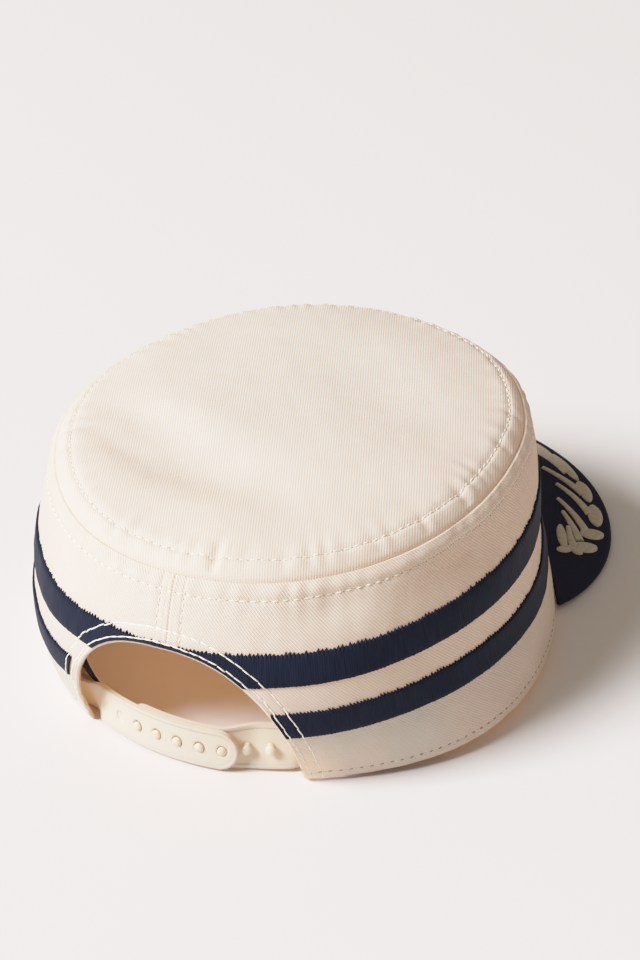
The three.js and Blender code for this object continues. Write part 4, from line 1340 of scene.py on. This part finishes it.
class CAP_OT_stitching(bpy.types.Operator):
    """Sew the rows of stitches along the seams, the hem and the arch"""

    bl_idname = "cap.stitching"
    bl_label = "Stitching"

    def execute(self, context):
        sizes, colours = context.scene.cap_sizes, context.scene.cap_colours
        cream = twisted_thread("cream cotton thread", colours.thread, 0.4 * MM)
        hole = twisted_thread("shaded needle hole", colours.needle_hole_shade, 0.4 * MM)
        white = twisted_thread("pale cotton thread", colours.arch_thread, 0.4 * MM)
        even, hemmed, close = seam_sewing(sizes), hem_sewing(sizes), arch_sewing(sizes)
        angle = np.linspace(0, TURN, ROW_POINTS)
        parts = MeshParts()
        ratio = 1 - TOP_STITCH / np.linalg.norm(wall_plan(angle, np.ones_like(angle)), axis=-1)
        places = top_point(angle, ratio, sizes) * MM
        stitches(parts, places, np.broadcast_to([0.0, 0.0, 1.0], places.shape), even, 11)
        settle(parts.build("stitches_top", cream, hole), "crown_cloth")
        parts = MeshParts()
        share = np.full_like(angle, 1 - SIDE_STITCH / (WALL_HEIGHT * WALL_SLANT))
        wall_stitches(parts, angle, share, 0.0, sizes, even, 12)
        for side in (-1, 1):
            turn = (BACK_SEAM + side * BACK_STITCH) / GIRTH
            share = np.linspace(arch_share(turn) + 0.045, 1 - 3 / WALL_HEIGHT, SEAM_POINTS)
            rise = self.over_stripe(share, sizes)
            wall_stitches(parts, np.full_like(share, turn), share, rise, sizes, even, 14 + side)
        settle(parts.build("stitches_side", cream, hole), "crown_cloth")
        parts = MeshParts()
        angle = np.linspace(ARCH_HALF + 0.03, TURN - ARCH_HALF - 0.03, ROW_POINTS)
        wall_stitches(parts, angle, np.full_like(angle, HEM_STITCH / WALL_HEIGHT), 0.0, sizes, hemmed, 16)
        settle(parts.build("stitches_hem", cream, hole), "crown_cloth")
        parts = MeshParts()
        for i, offset in enumerate(ARCH_STITCHES):
            angle, share = arch_line(offset)
            rise = self.over_stripe(share, sizes)
            wall_stitches(parts, angle, share, rise, sizes, close, 18 + i)
        settle(parts.build("stitches_arch", white), "crown_cloth")
        return {"FINISHED"}

    def over_stripe(self, share, sizes):
        """How far stitches rise to cross the stripes."""
        rise = np.zeros_like(share)
        for low, high in (STRIPE_LOWER, STRIPE_UPPER):
            rise += plateau(share, (low - 0.008, low + 0.004), (high - 0.004, high + 0.008))
        return (sizes.stripe / MM + 0.2) * rise


class CAP_OT_stage(bpy.types.Operator):
    """Set the pale floor, the soft window light and the camera"""

    bl_idname = "cap.stage"
    bl_label = "Stage"

    def execute(self, context):
        scene, stage = context.scene, context.scene.cap_stage
        floor = bpy.data.meshes.new("floor")
        corners = [(FLOOR_HALF * x, FLOOR_HALF * y, 0) for x, y in ((-1, -1), (1, -1), (1, 1), (-1, 1))]
        floor.from_pydata(corners, [], [(0, 1, 2, 3)])
        floor.materials.append(painted_board("pale painted board", context.scene.cap_colours.floor))
        board = bpy.data.objects.new("floor", floor)
        scene.collection.objects.link(board)
        board.location.z = -FLOOR_DROP
        middle = Vector(CROWN_CENTRE * MM)
        self.window_light(scene, middle + Vector(WINDOW_PLACE), middle, stage.key)
        world = bpy.data.worlds.new("room")
        scene.world = world
        world.use_nodes = True
        room = world.node_tree.nodes["Background"]
        room.inputs["Color"].default_value = rgba(to_linear(ROOM_COLOUR))
        room.inputs["Strength"].default_value = stage.ambient
        self.film_response(scene.view_settings)
        # Light inside the crown passes from cloth to cloth many times.
        scene.cycles.max_bounces, scene.cycles.diffuse_bounces = 16, 12
        lens = bpy.data.cameras.new("camera")
        lens.lens = stage.lens
        lens.sensor_width = SENSOR_WIDTH
        lens.clip_start = 0.01
        camera = bpy.data.objects.new("camera", lens)
        scene.collection.objects.link(camera)
        camera.location = Vector((CAMERA_PLACE + CROWN_CENTRE) * MM)
        aim = Vector((CAMERA_AIM + CROWN_CENTRE) * MM)
        camera.rotation_euler = (aim - camera.location).to_track_quat("-Z", "Y").to_euler()
        scene.camera = camera
        return {"FINISHED"}

    def film_response(self, view):
        """Rolls the brightest tones off softly, as a photograph does."""
        view.view_transform = "Standard"
        view.use_curve_mapping = True
        view.curve_mapping.white_level = (FILM_WHITE,) * 3
        curve = view.curve_mapping.curves[3]
        for place in FILM_CURVE:
            curve.points.new(*place)
        view.curve_mapping.update()

    def window_light(self, scene, place, aim, power):
        """Adds a soft square light that faces a place, as a window does."""
        light = bpy.data.lights.new("window", "AREA")
        light.shape = "SQUARE"
        light.size = WINDOW_SIZE
        light.energy = power
        light.color = to_linear(WINDOW_COLOUR)
        lamp = bpy.data.objects.new("window", light)
        scene.collection.objects.link(lamp)
        lamp.location = place
        lamp.rotation_euler = (aim - place).to_track_quat("-Z", "Y").to_euler()


OPERATORS = (
    CAP_OT_crown_side, CAP_OT_crown_top, CAP_OT_stripes, CAP_OT_peak, CAP_OT_leaf_sprays,
    CAP_OT_sweatband, CAP_OT_strap, CAP_OT_stitching, CAP_OT_stage,
)
GROUPS = (("cap_sizes", CapSizes), ("cap_colours", CapColours), ("cap_stage", CapStage))


class CAP_PT_panel(bpy.types.Panel):
    """Sizes, colours and steps of the cap"""

    bl_idname = "CAP_PT_panel"
    bl_label = "Painter cap"
    bl_space_type = "VIEW_3D"
    bl_region_type = "UI"
    bl_category = "Cap"

    def draw(self, context):
        for key, group in GROUPS:
            box = self.layout.box()
            for name in group.__annotations__:
                box.prop(getattr(context.scene, key), name)
        for step in OPERATORS:
            self.layout.operator(step.bl_idname)


def register():
    for _, group in GROUPS:
        bpy.utils.register_class(group)
    for key, group in GROUPS:
        setattr(bpy.types.Scene, key, PointerProperty(type=group))
    for step in (*OPERATORS, CAP_PT_panel):
        bpy.utils.register_class(step)


def unregister():
    for step in (CAP_PT_panel, *reversed(OPERATORS)):
        bpy.utils.unregister_class(step)
    for key, group in reversed(GROUPS):
        delattr(bpy.types.Scene, key)
        bpy.utils.unregister_class(group)


def main():
    """Builds the whole scene in order."""
    register()
    for step in OPERATORS:
        name = step.bl_idname.split(".")[1]
        getattr(bpy.ops.cap, name)()


if __name__ == "__main__":
    main()
